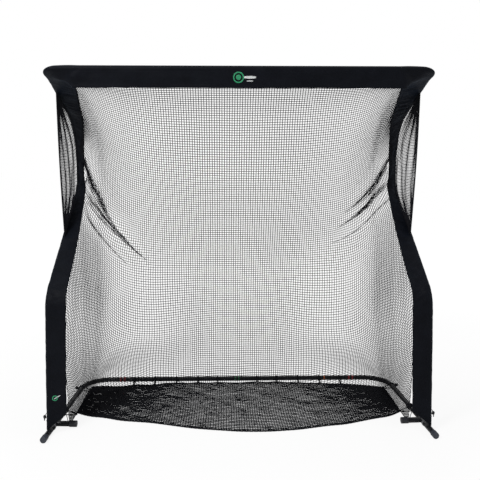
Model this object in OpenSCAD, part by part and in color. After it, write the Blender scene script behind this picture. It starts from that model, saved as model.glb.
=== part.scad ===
// Free-standing rebound golf net: a push-button tube frame with a C-shaped side
// profile, fabric sleeves, a mesh main net, side nets and a floor return net.
// Frame: X across, Y front to back (the player stands at -Y), Z up.
// Origin: on the floor, at the middle of the footprint.

/* [Overall size] */
// Height to the top of the sleeved top bar
overall_h = 2286; // [2240:1:2320]
// Half the distance between the two upright tube axes
post_x = 1187; // [1150:1:1200]
// Depth of the footprint, front cap face to back of the rear bar
depth = 1071; // [1050:1:1110]

/* [Frame tube] */
// Outside diameter of the frame tube
tube_d = 34; // [33:0.5:35]
// Wall of the frame tube
wall = 1.6; // [1.5:0.1:1.8]
// Radial clearance of a slip joint
slip_gap = 0.1; // [0.08:0.01:0.15]
// Length of the reduced male end in each slip joint
slip_len = 60; // [56:1:70]
// Visible gap at a closed slip joint
seat_gap = 0.3; // [0.2:0.1:0.6]

/* [Side profile] */
// Setback of the upright from the face of the front cap
leg_setback = 131; // [120:1:140]
// Setback of the waist from the upright
waist_setback = 920; // [900:1:925]
// Height where the top arm would meet the waist line
z_arm_waist = 1920; // [1900:1:1935]
// Height where the diagonal would meet the waist line
z_diag_waist = 1479; // [1460:1:1490]
// Height where the diagonal would meet the upright
z_diag_leg = 862; // [850:1:880]
// Bend radius of the lower knee
r_low = 150; // [130:1:160]
// Bend radius of the lower waist bend
r_mid = 150; // [130:1:160]
// Bend radius of the upper waist bend
r_up = 450; // [430:1:460]
// Bend radius of the front top corner
r_corner = 75; // [70:1:80]

/* [Base] */
// Diameter of the end caps, which carry the frame off the floor
cap_d = 40; // [39:0.5:42]
// Length of each end cap
cap_l = 45; // [40:1:50]
// Toe-in of each side tube, degrees
toe = 3.2; // [2.5:0.1:3.5]
// Bend radius of the rear corners
r_rear = 190; // [180:1:200]
// Setback of the inboard hook stub from the upright, along the side tube
stub_at = 116; // [105:1:125]
// Reach of the hook stub from the side tube axis, with its cap
stub_l = 138; // [130:1:150]
// Length of side tube behind the upright, to its slip joint
foot_l = 355; // [340:1:370]
// Distance of the outer rear slip joints from the middle
rear_joint_x = 870; // [850:1:880]

/* [Snap buttons] */
// Diameter of a snap button
btn_d = 8; // [7:0.5:8.5]
// Height of a snap button above the tube
btn_h = 4.5; // [4:0.1:5]
// Radial clearance of a button in its hole
btn_gap = 0.08; // [0.06:0.01:0.1]
// Distance from the button to the shoulder of its slip joint
btn_at = 30; // [28:1:32]

/* [Sleeves] */
// Gap between tube and sleeve
sleeve_gap = 2; // [1.5:0.5:2]
// Thickness of the sleeve cloth
sleeve_t = 2; // [1.5:0.5:2]
// Reach of the side sleeve band from the tube axis
band_w = 100; // [90:1:104]
// Drop of the top sleeve flap from the tube axis
flap_w = 108; // [100:1:112]
// Height of the lower hem of the side sleeves
hem_z = 128; // [125:1:150]

/* [Nets] */
// Thickness of the solids that carry the nets
net_t = 3; // [2.5:0.5:3.5]
// Forward bow of the front rope at the middle
rope_bow = 300; // [280:5:310]
// Radius of the front rope
rope_r = 5; // [4:0.5:6]
// Radius of the perimeter cord
cord_r = 3.5; // [3:0.5:4]

/* [Hidden] */
$fn = 48;
bend_fn = 96;
// tube and male end radii
tube_r = tube_d / 2;
bore_r = tube_r - wall;
male_r = bore_r - slip_gap;
male_bore_r = male_r - wall;
sleeve_r = tube_r + sleeve_gap + sleeve_t;
// main lines of the frame
rear_inset = 1.2;
y_leg = -depth / 2 + leg_setback;
y_rear = depth / 2 - tube_r - rear_inset;
y_waist = y_leg + waist_setback;
z_base = cap_d / 2;
z_bar = overall_h - sleeve_r;
socket_top = 58; // top of the leg socket on each foot

// Side profile. Points are [y, z]; directions are degrees from +Y towards +Z.
arm_slope = atan2(z_bar - z_arm_waist, y_waist - y_leg);
arm_dir = 180 - arm_slope;
arm_turn = 90 - arm_slope;
diag_dir = atan2(z_diag_waist - z_diag_leg, y_waist - y_leg);
diag_turn = 90 - diag_dir;
low_tangent = tangent(r_low, diag_turn);
mid_tangent = tangent(r_mid, diag_turn);
up_tangent = tangent(r_up, arm_turn);
// ends of the straight runs, bottom to top
leg_start = [y_leg, socket_top + seat_gap];
leg_end = [y_leg, z_diag_leg - low_tangent];
diag_start = along([y_leg, z_diag_leg], diag_dir, low_tangent);
diag_l = norm([y_waist - y_leg, z_diag_waist - z_diag_leg]) - low_tangent - mid_tangent;
diag_end = along(diag_start, diag_dir, diag_l);
waist_start = [y_waist, z_diag_waist + mid_tangent];
waist_end = [y_waist, z_arm_waist - up_tangent];
arm_start = along([y_waist, z_arm_waist], arm_dir, up_tangent);
arm_end = along([y_leg, z_bar], arm_dir, -r_corner);
arm_l = norm(arm_end - arm_start);
// slip joints: along the diagonal, along the arm, and across the top bar
diag_joint = 470;
arm_joint = 150;
top_joint_x = 800;

// Rear corner of the base
side_l = (y_rear - y_leg) / cos(toe);
x_rear = post_x - (y_rear - y_leg) * tan(toe);
rear_tangent = tangent(r_rear, 90 - toe);
side_end = side_l - rear_tangent;
rear_end_x = x_rear - rear_tangent;

// ---------- geometry functions ----------
function unit(angle) = [cos(angle), sin(angle)];
function normal(angle) = [-sin(angle), cos(angle)];
function along(point, angle, dist) = point + dist * unit(angle);
function lerp(a, b, t) = a + (b - a) * t;
// distance from the corner of a bend to where the bend starts
function tangent(radius, turn) = radius * tan(turn / 2);
function arc(centre, radius, from, to, steps) =
  [for (i = [0:steps]) along(centre, lerp(from, to, i / steps), radius)];
// faces for shells: a quad split along a-c, and a quad joining a skin to its shifted copy
function quad_tris(a, b, c, d) = [[a, b, c], [a, c, d]];
function rim_quad(a, b, shift) = [a, b, shift + b, shift + a];

// ---------- placement ----------
module left() { mirror([1, 0, 0]) children(); }
module pair() {
  children();
  left() children();
}
// point on the right-hand side profile, local Z along the given direction
module on_profile(point, angle) {
  translate([post_x, point[0], point[1]]) rotate([angle - 90, 0, 0]) children();
}
// right-hand side tube of the base: origin on the floor under the upright, Y along the tube
module base_side() { translate([post_x, y_leg, 0]) rotate([0, 0, toe]) children(); }

// Slip joint stations, right-hand side and centre, at the button.
// Local frame: pin along +X, tube along Z with the male tip at +Z.
module at_side_joint() {
  base_side() translate([0, foot_l - btn_at, z_base])
    rotate([90, 0, 0]) rotate([0, 0, 90]) children();
}
module at_rear_joint() {
  translate([rear_joint_x - btn_at, y_rear, z_base]) rotate([0, -90, 0]) children();
}
module at_rear_centre() {
  translate([btn_at, y_rear, z_base]) rotate([0, 90, 0]) rotate([0, 0, 180]) children();
}
module at_leg_joint() { translate([post_x, y_leg, socket_top + btn_at]) children(); }
module at_diag_joint() {
  on_profile(along(diag_start, diag_dir, diag_joint + btn_at), diag_dir)
    rotate([0, 0, 180]) children();
}
module at_arm_joint() {
  on_profile(along(arm_start, arm_dir, arm_joint + btn_at), arm_dir)
    rotate([0, 0, 180]) children();
}
module at_top_joint() {
  translate([top_joint_x - btn_at, y_leg, z_bar])
    rotate([0, -90, 0]) rotate([0, 0, 180]) children();
}
module at_top_centre() { translate([btn_at, y_leg, z_bar]) rotate([0, 90, 0]) children(); }

// ---------- tube parts ----------
weld_gap = 0.05; // a straight stops this short of a bend, which leaves a fine weld line
male_root = 3; // length of the male end inside its own tube

module ring(outer, inner) {
  difference() {
    circle(outer);
    circle(inner);
  }
}
// straight tube in the side plane
module straight(point, angle, length) {
  on_profile(along(point, angle, weld_gap), angle)
    linear_extrude(length - 2 * weld_gap) ring(tube_r, bore_r);
}
// bend in the side plane, turning from the start direction; the child is its section
module bend(point, angle, turn, radius) {
  side = turn > 0 ? 1 : -1;
  centre = point + side * radius * normal(angle);
  translate([post_x, centre[0], centre[1]]) rotate([90, 0, 90])
    rotate([0, 0, turn > 0 ? angle - 90 : angle + 90 + turn])
      rotate_extrude(angle = abs(turn), $fn = bend_fn) translate([radius, 0]) children();
}
// straight tube along X
module tube_x(x0, x1, y, z, outer = tube_r, inner = bore_r) {
  translate([x0, y, z]) rotate([90, 0, 90]) linear_extrude(x1 - x0) ring(outer, inner);
}
// male end along local +Z from the shoulder at z = 0, with the web that holds it
module male_end() {
  overlap = 0.4;
  translate([0, 0, -male_root]) linear_extrude(slip_len + male_root) ring(male_r, male_bore_r);
  translate([0, 0, -male_root - 1])
    linear_extrude(male_root + overlap) ring(bore_r + overlap, male_r - overlap);
}
// backing ring inside a butt weld, along local Z, centred on the seam
module weld_ring() {
  length = 6;
  translate([0, 0, -length / 2]) linear_extrude(length) ring(bore_r + 0.5, bore_r - 0.7);
}
module weld(point, angle) { on_profile(point, angle) weld_ring(); }

// ---------- snap buttons, in the joint frame ----------
clip_r = 12; // inside radius of the spring clip
clip_t = 0.8;
clip_w = 8;
clip_foot_z = -20; // free ends of the two leaves
clip_bow_z = 14.5; // centre of the bow that joins the leaves

module snap_hole() {
  overcut = 3;
  translate([male_bore_r - overcut, 0, 0]) rotate([0, 90, 0])
    cylinder(r = btn_d / 2 + btn_gap, h = tube_r - male_bore_r + 2 * overcut);
}
// domed pin with the leaf of the clip that carries it
module snap_pin() {
  dome_r = 5;
  dome_h = 3.5; // from the end of the shank to the crown
  tip = tube_r + btn_h;
  leaf_l = 34;
  rotate([0, 90, 0]) rotate_extrude() intersection() {
    union() {
      translate([0, clip_r]) square([btn_d / 2, tip - dome_h - clip_r]);
      translate([0, tip - dome_r]) circle(dome_r);
    }
    translate([0, clip_r]) square([btn_d / 2, 20]);
  }
  translate([clip_r, -clip_w / 2, clip_foot_z]) cube([clip_t, clip_w, leaf_l]);
}
// opposite leaf and the half-round bow
module snap_clip() {
  leaf_l = 34.6;
  translate([-clip_r - clip_t, -clip_w / 2, clip_foot_z]) cube([clip_t, clip_w, leaf_l]);
  translate([0, clip_w / 2, clip_bow_z]) rotate([90, 0, 0]) linear_extrude(clip_w)
    difference() {
      circle(clip_r + clip_t);
      circle(clip_r);
      translate([-20, -40]) square([40, 40]);
    }
}

// ---------- base ----------
cap_floor = 5; // closed end of a cap, where the tube stops
cap_round = 2;

// front length of side tube, with the hook stub and the leg socket
module foot() {
  bore_overcut = 10;
  socket_root = 8;
  leg_bore_l = 140;
  cross_bore_l = 80;
  difference() {
    union() {
      base_side() difference() {
        union() {
          translate([0, -leg_setback + cap_floor, z_base]) rotate([-90, 0, 0])
            cylinder(r = tube_r, h = leg_setback - cap_floor + foot_l);
          translate([-stub_l + cap_floor, stub_at, z_base]) rotate([0, 90, 0])
            cylinder(r = tube_r, h = stub_l - cap_floor);
        }
        translate([-stub_l, stub_at, z_base]) rotate([0, 90, 0])
          cylinder(r = bore_r, h = stub_l);
        translate([0, -leg_setback, z_base]) rotate([-90, 0, 0])
          cylinder(r = bore_r, h = leg_setback + foot_l + bore_overcut);
      }
      difference() {
        union() {
          translate([post_x, y_leg, z_base]) cylinder(r = tube_r, h = socket_top - z_base);
          translate([post_x, y_leg, socket_top - socket_root])
            cylinder(r = male_r, h = socket_root + slip_len);
        }
        translate([post_x, y_leg, z_base - 1]) cylinder(r = male_bore_r, h = leg_bore_l);
        base_side() translate([0, -cross_bore_l / 2, z_base]) rotate([-90, 0, 0])
          cylinder(r = bore_r, h = cross_bore_l);
      }
    }
    at_side_joint() snap_hole();
    at_leg_joint() snap_hole();
  }
}
module base_corner() {
  side_start = foot_l + seat_gap;
  difference() {
    union() {
      base_side() {
        translate([0, side_start, z_base]) rotate([-90, 0, 0])
          linear_extrude(side_end - weld_gap - side_start) ring(tube_r, bore_r);
        translate([0, side_start, z_base]) rotate([90, 0, 0]) male_end();
        translate([0, side_end, z_base]) rotate([90, 0, 0]) weld_ring();
        translate([-r_rear, side_end, z_base])
          rotate_extrude(angle = 90 - toe, $fn = bend_fn)
            translate([r_rear, 0]) ring(tube_r, bore_r);
      }
      tube_x(rear_joint_x, rear_end_x - weld_gap, y_rear, z_base);
      translate([rear_joint_x, y_rear, z_base]) rotate([0, -90, 0]) male_end();
      translate([rear_end_x, y_rear, z_base]) rotate([0, 90, 0]) weld_ring();
    }
    at_side_joint() snap_hole();
    at_rear_joint() snap_hole();
  }
}
// cap along local +Z: open at z = 0, rounded at the closed end
module cap() {
  difference() {
    union() {
      cylinder(r = cap_d / 2, h = cap_l - cap_round);
      cylinder(r = cap_d / 2 - cap_round, h = cap_l);
      translate([0, 0, cap_l - cap_round]) rotate_extrude()
        translate([cap_d / 2 - cap_round, 0]) intersection() {
          circle(cap_round);
          square(cap_round + 1);
        }
    }
    translate([0, 0, -1]) cylinder(r = tube_r + 0.08, h = cap_l - cap_floor + 1);
  }
}
module front_cap() {
  base_side() translate([0, -leg_setback + cap_l, z_base]) rotate([90, 0, 0]) cap();
}
module stub_cap() {
  base_side() translate([-stub_l + cap_l, stub_at, z_base]) rotate([0, -90, 0]) cap();
}

// ---------- rear and top bars ----------
// Each bar is two halves; the left half carries the male end of the centre joint.
// The children are the button holes.
module right_half_bar(joint_x, y, z) {
  difference() {
    tube_x(0, joint_x - seat_gap, y, z);
    children();
  }
}
module left_half_bar(joint_x, y, z) {
  difference() {
    union() {
      left() tube_x(seat_gap, joint_x - seat_gap, y, z);
      translate([-seat_gap, y, z]) rotate([0, 90, 0]) male_end();
    }
    children();
  }
}
// coloured bands round the rear bar
mark_w = 12;
mark_gap = 8; // from a slip joint
orange_mark_x = 662;
module colour_band(x) { tube_x(x, x + mark_w, y_rear, z_base, tube_r + 0.5, tube_r + 0.03); }

// ---------- uprights and top corners ----------
module lower_upright() {
  difference() {
    union() {
      straight(leg_start, 90, leg_end[1] - leg_start[1]);
      bend(leg_end, 90, -diag_turn, r_low) ring(tube_r, bore_r);
      straight(diag_start, diag_dir, diag_joint);
      weld(leg_end, 90);
      weld(diag_start, diag_dir);
      on_profile(along(diag_start, diag_dir, diag_joint), diag_dir) male_end();
    }
    at_leg_joint() snap_hole();
    at_diag_joint() snap_hole();
  }
}
module upper_upright() {
  start = diag_joint + seat_gap;
  difference() {
    union() {
      straight(along(diag_start, diag_dir, start), diag_dir, diag_l - start);
      bend(diag_end, diag_dir, diag_turn, r_mid) ring(tube_r, bore_r);
      straight(waist_start, 90, waist_end[1] - waist_start[1]);
      bend(waist_end, 90, arm_turn, r_up) ring(tube_r, bore_r);
      straight(arm_start, arm_dir, arm_joint);
      weld(diag_end, diag_dir);
      weld(waist_start, 90);
      weld(waist_end, 90);
      weld(arm_start, arm_dir);
      on_profile(along(arm_start, arm_dir, arm_joint), arm_dir) male_end();
    }
    at_diag_joint() snap_hole();
    at_arm_joint() snap_hole();
  }
}
// the corner bend turns from the arm direction to -X
module corner_sweep() {
  translate([post_x - r_corner, arm_end[0], arm_end[1]]) rotate([arm_dir, 0, 0])
    rotate_extrude(angle = 90, $fn = bend_fn) translate([r_corner, 0]) children();
}
module top_corner() {
  start = arm_joint + seat_gap;
  corner_x = post_x - r_corner;
  difference() {
    union() {
      straight(along(arm_start, arm_dir, start), arm_dir, arm_l - start);
      corner_sweep() ring(tube_r, bore_r);
      tube_x(top_joint_x, corner_x - weld_gap, y_leg, z_bar);
      weld(arm_end, arm_dir);
      translate([corner_x, y_leg, z_bar]) rotate([0, 90, 0]) weld_ring();
      translate([top_joint_x, y_leg, z_bar]) rotate([0, -90, 0]) male_end();
    }
    at_arm_joint() snap_hole();
    at_top_joint() snap_hole();
  }
}

// ---------- loops round a tube ----------
// teardrop outline: a big arc round the origin and a small arc at the reach along +x
function drop_pts(big_r, small_r, reach, steps) =
  let (half = acos((big_r - small_r) / reach))
  concat(
    [for (i = [0:steps]) big_r * unit(half + (360 - 2 * half) * i / steps)],
    [for (i = [0:4]) along([reach, 0], -half + 2 * half * i / 4, small_r)]);
module loop_section(big_r, small_r, reach, thick, steps = 16) {
  difference() {
    polygon(drop_pts(big_r, small_r, reach, steps));
    polygon(drop_pts(big_r - thick, small_r - thick, reach, steps));
  }
}

// ---------- sleeves ----------
edge_r = 6; // radius of the free edge of a sleeve
sleeve_steps = 12; // steps of a sleeve section round the tube
end_gap = 2; // sleeve end to the start of the top corner bend

// Side sleeve station: [y, z, direction, reach, twist].
// The twist turns the band from inboard towards the mouth of the C.
function station(point, angle, reach, twist) = [point[0], point[1], angle, reach, twist];
// stations round a bend, the start left out; reach and twist are [start, end]
function bend_stations(point, angle, turn, radius, reach, twist, steps) =
  let (side = turn > 0 ? 1 : -1, centre = point + side * radius * normal(angle))
  [for (i = [1:steps]) let (t = i / steps, now = angle + turn * t)
    station(centre - side * radius * normal(now), now,
      lerp(reach[0], reach[1], t), lerp(twist[0], twist[1], t))];
// band reach at the lower waist bend, along the waist and on the arm
low_waist_reach = band_w * 0.88;
waist_reach = band_w * 0.85;
arm_reach = band_w * 0.9;
side_stations = concat(
  [station([y_leg, hem_z], 90, band_w, 0), station(leg_end, 90, band_w, 0)],
  bend_stations(leg_end, 90, -diag_turn, r_low, [band_w, band_w], [0, 4], 6),
  [for (t = [0.3, 0.6, 0.8])
    station(along(diag_start, diag_dir, t * diag_l), diag_dir,
      lerp(band_w, band_w * 0.9, t), lerp(4, 32, t))],
  [station(diag_end, diag_dir, low_waist_reach, 42)],
  bend_stations(diag_end, diag_dir, diag_turn, r_mid,
    [low_waist_reach, waist_reach], [42, 56], 6),
  [station(waist_end, 90, waist_reach, 58)],
  bend_stations(waist_end, 90, arm_turn, r_up, [waist_reach, arm_reach], [58, 24], 9),
  [for (t = [0.35, 0.7, 1])
    station(along(arm_start, arm_dir, t * (arm_l - end_gap)), arm_dir,
      arm_reach, lerp(24, 0, t))]);

// section point p set at a station
function at_station(s, p) =
  let (
    angle = s[2],
    twist = s[4],
    inboard = p[0] * cos(twist) + p[1] * sin(twist),
    mouth = p[0] * sin(twist) - p[1] * cos(twist),
    place = [s[0], s[1]] + mouth * normal(angle))
  [post_x - inboard, place[0], place[1]];
function sleeve_skin(inset) =
  [for (s = side_stations)
    for (p = drop_pts(sleeve_r - inset, edge_r - inset, s[3], sleeve_steps)) at_station(s, p)];

// one closed shell swept through the stations
module side_sleeve_shape() {
  count = sleeve_steps + 6; // points in one section
  rows = len(side_stations);
  shift = count * rows; // first inner point
  last = (rows - 1) * count;
  function next(k) = (k + 1) % count;
  polyhedron(
    points = concat(sleeve_skin(0), sleeve_skin(sleeve_t)),
    convexity = 8,
    faces = concat(
      [for (i = [0:rows - 2]) for (k = [0:count - 1])
        let (a = i * count, b = a + count)
        for (tri = quad_tris(a + k, b + k, b + next(k), a + next(k))) tri],
      [for (i = [0:rows - 2]) for (k = [0:count - 1])
        let (a = shift + i * count, b = a + count)
        for (tri = quad_tris(a + k, a + next(k), b + next(k), b + k)) tri],
      [for (k = [0:count - 1]) rim_quad(k, next(k), shift)],
      [for (k = [0:count - 1]) rim_quad(last + next(k), last + k, shift)]));
}
module top_sleeve_shape() {
  length = 2 * (post_x - r_corner - end_gap);
  translate([-length / 2, y_leg, z_bar]) rotate([90, 0, 90]) linear_extrude(length)
    rotate([0, 0, -90]) loop_section(sleeve_r, edge_r, flap_w, sleeve_t, sleeve_steps);
}

// ---------- cords and floor net ----------
// round cord: a many-sided tube swept along computed points
module cord(pts, radius, sides = 8) {
  last = len(pts) - 1;
  dirs = [for (i = [0:last])
    let (v = pts[min(i + 1, last)] - pts[max(i - 1, 0)]) v / norm(v)];
  across = [for (d = dirs)
    let (c = cross(d, abs(d[2]) > 0.9 ? [1, 0, 0] : [0, 0, 1])) c / norm(c)];
  up = [for (i = [0:last]) cross(across[i], dirs[i])];
  skin = [for (i = [0:last]) for (k = [0:sides - 1]) let (turn = 360 * k / sides)
    pts[i] + radius * (cos(turn) * across[i] + sin(turn) * up[i])];
  faces = concat(
    [for (i = [0:last - 1]) for (k = [0:sides - 1])
      let (a = i * sides, b = a + sides, next = (k + 1) % sides)
      [a + k, a + next, b + next, b + k]],
    [[for (k = [sides - 1:-1:0]) k]],
    [[for (k = [0:sides - 1]) last * sides + k]]);
  polyhedron(points = skin, faces = faces, convexity = 6);
}

x_net = post_x - 97; // side edge of the floor net cord
y_rope_end = y_leg + 307;
z_cord = cord_r + 3.1;
cord_steps = 14; // per half
floor_net_z = 3;
// front rope on the floor, bowed forward at the middle
function rope_y(x) = y_rope_end - rope_bow * (1 - pow(abs(x) / x_net, 1.6));
// rear edge of the floor net, bowed back towards the rear bar
function seam_y(x) = y_rear - 48 - 120 * pow(abs(x) / x_net, 3);
rope_pts = [for (i = [-cord_steps:cord_steps])
  let (x = i / cord_steps * (x_net - 8)) [x, rope_y(x), rope_r + 1]];
// side run of the perimeter cord, front to back
side_cord_y = [y_rope_end + 16, y_rope_end + 180, seam_y(x_net) - 60];
cord_pts = concat(
  [for (y = side_cord_y) [-x_net, y, z_cord]],
  [for (i = [-cord_steps:cord_steps])
    let (x = i / cord_steps * (x_net - 18)) [x, seam_y(x), z_cord]],
  [for (i = [2:-1:0]) [x_net, side_cord_y[i], z_cord]]);

module floor_net_shape() {
  steps = 16;
  half_w = x_net - 24;
  rope_gap = 6;
  seam_gap = 22;
  translate([0, 0, floor_net_z]) linear_extrude(net_t) polygon(concat(
    [for (i = [-steps:steps]) let (x = i / steps * half_w)
      [x, rope_y(x) + rope_r + rope_gap]],
    [for (i = [steps:-1:-steps]) let (x = i / steps * half_w)
      [x, seam_y(x) - cord_r - seam_gap]]));
}

// ---------- main net ----------
net_top_y = y_leg + 26;
net_top_z = z_bar - 132;
net_foot_z = 14;
// Side edge of the net, top to floor: [v, x, y, z, y power, z power].
// v runs from 0 at the top to 1 at the floor; the powers shape the span below the row.
net_edge = [
  [0, post_x - 112, net_top_y, net_top_z, 1, 0.9],
  [0.3, post_x - 70, y_waist - 70, z_arm_waist - 190, 1, 1],
  [0.42, post_x - 74, y_waist - 90, z_diag_waist - 90, 1, 1],
  [0.66, post_x - 118, y_leg + 62, z_diag_leg - 70, 2, 1],
  [1, post_x - 122, y_leg + 330, net_foot_z, 1, 1]
];
function edge_pt(v) =
  let (
    i = max([for (k = [0:3]) if (v >= net_edge[k][0]) k]),
    a = net_edge[i],
    b = net_edge[i + 1],
    t = (v - a[0]) / (b[0] - a[0]))
  [lerp(a[1], b[1], t), lerp(a[2], b[2], pow(t, a[4])), lerp(a[3], b[3], pow(t, a[5]))];
// middle line of the net
function mid_y(v) =
  lerp(net_top_y, y_rear - 60, pow(v, 1.1)) + 60 * sin(360 * v - 90) * v * (1 - v);
function mid_z(v) = lerp(net_top_z, net_foot_z, v);
// u runs from -1 to 1 across the net; the depth curve sharpens near the floor
side_power = 2.2;
floor_power = 6;
function net_pt(u, v) =
  let (
    edge = edge_pt(v),
    y_power = lerp(side_power, floor_power, max(0, (v - 0.7) / 0.3)))
  [u * edge[0],
    lerp(mid_y(v), edge[1], pow(abs(u), y_power)),
    lerp(mid_z(v), edge[2], pow(abs(u), side_power))];

module main_net_shape() {
  cols = 18;
  rows = 16;
  back = [for (j = [0:rows]) for (i = [0:cols]) net_pt(2 * i / cols - 1, j / rows)];
  front = [for (p = back) p + [0, -net_t, 0]];
  shift = len(back);
  function id(i, j) = j * (cols + 1) + i;
  polyhedron(
    points = concat(back, front),
    convexity = 8,
    faces = concat(
      [for (j = [0:rows - 1]) for (i = [0:cols - 1])
        for (tri = quad_tris(id(i, j), id(i, j + 1), id(i + 1, j + 1), id(i + 1, j))) tri],
      [for (j = [0:rows - 1]) for (i = [0:cols - 1])
        let (a = shift + id(i, j), b = shift + id(i, j + 1))
        for (tri = quad_tris(a, a + 1, b + 1, b)) tri],
      [for (i = [0:cols - 1]) rim_quad(id(i, 0), id(i + 1, 0), shift)],
      [for (i = [0:cols - 1]) rim_quad(id(i + 1, rows), id(i, rows), shift)],
      [for (j = [0:rows - 1]) rim_quad(id(0, j + 1), id(0, j), shift)],
      [for (j = [0:rows - 1]) rim_quad(id(cols, j), id(cols, j + 1), shift)]));
}

// ---------- side nets ----------
side_net_t = 2;
side_net_inset = sleeve_r + 13; // from the tube axis
// ends of the hem across the mouth of the C, as setbacks from the upright
hem_top_setback = 255;
hem_low_setback = 440;
hem_clear = 40;
hem_top = [y_leg + hem_top_setback, z_bar - hem_top_setback * tan(arm_slope) - hem_clear];
hem_low = [y_leg + hem_low_setback, z_diag_leg + hem_low_setback * tan(diag_dir) + hem_clear];

// fills the mouth of the C between the hem and the sleeve
module side_net_shape() {
  pts = concat(
    [hem_low + [14, 6]],
    [diag_end + side_net_inset * normal(diag_dir)],
    arc(diag_end + r_mid * normal(diag_dir), r_mid - side_net_inset, diag_dir - 90, 0, 6),
    arc(waist_end - [r_up, 0], r_up - side_net_inset, 0, arm_turn, 10),
    [hem_top + [14, -6]]);
  translate([post_x - side_net_t / 2, 0, 0]) rotate([90, 0, 90])
    linear_extrude(side_net_t) polygon(pts);
}
module hem_cord() {
  sag = 18; // forward bow at mid-length
  cord([for (i = [0:6]) let (t = i / 6)
    [post_x,
      lerp(hem_top[0], hem_low[0], t) - sag * sin(180 * t) - 4,
      lerp(hem_top[1] - 6, hem_low[1] + 4, t)]], 3.5);
}

// ---------- ties, toggles and badges ----------
tie_xs = [150, 300, 463, 625, 780];
bungee_ys = [300, 740]; // along the side tube
loop_w = 4;

// cord tie round the rear bar that holds the perimeter cord
module tie(x) {
  dy = y_rear - seam_y(x);
  dz = z_base - z_cord;
  translate([x, y_rear, z_base]) rotate([atan2(dz, dy), 0, 0]) rotate([90, 0, 90])
    linear_extrude(loop_w) rotate([0, 0, 180])
      loop_section(tube_r + 2, cord_r + 3, norm([dy, dz]), 1.5);
}
// bungee loop reaching inboard from the side tube
module corner_loop(y) {
  base_side() translate([0, y - loop_w / 2, z_base]) rotate([90, 0, 0])
    linear_extrude(loop_w) rotate([0, 0, 180]) loop_section(tube_r + 3, 6, 52, 2);
}
module toggle(y) { base_side() translate([tube_r + 16, y, z_base + 4]) sphere(r = 12.5); }
module foot_strap() {
  base_side() translate([0, 62, z_base]) rotate([90, 0, 0])
    linear_extrude(20) ring(tube_r + 2, tube_r + 0.4);
}
module sleeve_toggle() { translate([post_x + sleeve_r + 12, y_leg, hem_z - 18]) sphere(r = 10); }
badge_t = 1;
module badge(radius, rim) { linear_extrude(badge_t) ring(radius, radius - rim); }
// ringed disc on the front face of the top flap
module flap_badge() {
  flap_tilt = asin((sleeve_r - edge_r) / flap_w);
  drop = 52; // down the flap from the bar axis
  translate([0, y_leg, z_bar]) rotate([flap_tilt, 0, 0])
    translate([0, -sleeve_r - 0.4, -drop]) rotate([90, 0, 0]) {
      badge(38, 8);
      linear_extrude(badge_t) circle(18);
    }
}

// ---------- nodes ----------
frame_col = [0.05, 0.05, 0.06];
cloth_col = [0.07, 0.08, 0.1];
net_col = [0.12, 0.12, 0.13];
badge_col = [0.1, 0.5, 0.3];

module foot_right() { color(frame_col) foot(); }
module foot_left() { left() foot_right(); }
module front_caps() { color([0.16, 0.17, 0.2]) pair() front_cap(); }
module stub_caps() { color([0.1, 0.1, 0.12]) pair() stub_cap(); }
module base_corner_right() { color(frame_col) base_corner(); }
module base_corner_left() { left() base_corner_right(); }
module rear_bar_right() {
  color(frame_col) right_half_bar(rear_joint_x, y_rear, z_base) {
    at_rear_joint() snap_hole();
    at_rear_centre() snap_hole();
  }
}
module rear_bar_left() {
  color(frame_col) left_half_bar(rear_joint_x, y_rear, z_base) {
    left() at_rear_joint() snap_hole();
    at_rear_centre() snap_hole();
  }
}
module lower_upright_right() { color(frame_col) lower_upright(); }
module lower_upright_left() { left() lower_upright_right(); }
module upper_upright_right() { color(frame_col) upper_upright(); }
module upper_upright_left() { left() upper_upright_right(); }
module top_corner_right() { color(frame_col) top_corner(); }
module top_corner_left() { left() top_corner_right(); }
module top_bar_right() {
  color(frame_col) right_half_bar(top_joint_x, y_leg, z_bar) {
    at_top_joint() snap_hole();
    at_top_centre() snap_hole();
  }
}
module top_bar_left() {
  color(frame_col) left_half_bar(top_joint_x, y_leg, z_bar) {
    left() at_top_joint() snap_hole();
    at_top_centre() snap_hole();
  }
}
module spring_clips() {
  color("silver") {
    pair() {
      at_side_joint() snap_clip();
      at_rear_joint() snap_clip();
      at_leg_joint() snap_clip();
      at_diag_joint() snap_clip();
      at_arm_joint() snap_clip();
      at_top_joint() snap_clip();
    }
    at_rear_centre() snap_clip();
    at_top_centre() snap_clip();
  }
}
module button_side_right() { color("silver") at_side_joint() snap_pin(); }
module button_side_left() { left() button_side_right(); }
module button_rear_right() { color("silver") at_rear_joint() snap_pin(); }
module button_rear_left() { left() button_rear_right(); }
module button_rear_centre() { color("silver") at_rear_centre() snap_pin(); }
module button_leg_right() { color("silver") at_leg_joint() snap_pin(); }
module button_leg_left() { left() button_leg_right(); }
module button_diagonal_right() { color("silver") at_diag_joint() snap_pin(); }
module button_diagonal_left() { left() button_diagonal_right(); }
module button_arm_right() { color("silver") at_arm_joint() snap_pin(); }
module button_arm_left() { left() button_arm_right(); }
module button_top_right() { color("silver") at_top_joint() snap_pin(); }
module button_top_left() { left() button_top_right(); }
module button_top_centre() { color("silver") at_top_centre() snap_pin(); }
module bands_red() {
  color([0.7, 0.08, 0.06]) pair() {
    colour_band(rear_joint_x + mark_gap);
    colour_band(rear_joint_x - mark_gap - mark_w);
  }
}
module bands_green() { color([0.1, 0.6, 0.25]) pair() colour_band(mark_gap); }
module band_orange() { color([0.85, 0.35, 0.1]) colour_band(orange_mark_x); }
module top_sleeve() { color(cloth_col) top_sleeve_shape(); }
module side_sleeve_right() { color(cloth_col) side_sleeve_shape(); }
module side_sleeve_left() { left() side_sleeve_right(); }
module main_net() { color(net_col) main_net_shape(); }
module side_net_right() { color(net_col) side_net_shape(); }
module side_net_left() { left() side_net_right(); }
module floor_net() { color(net_col) floor_net_shape(); }
module front_rope() { color(cloth_col) cord(rope_pts, rope_r); }
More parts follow.
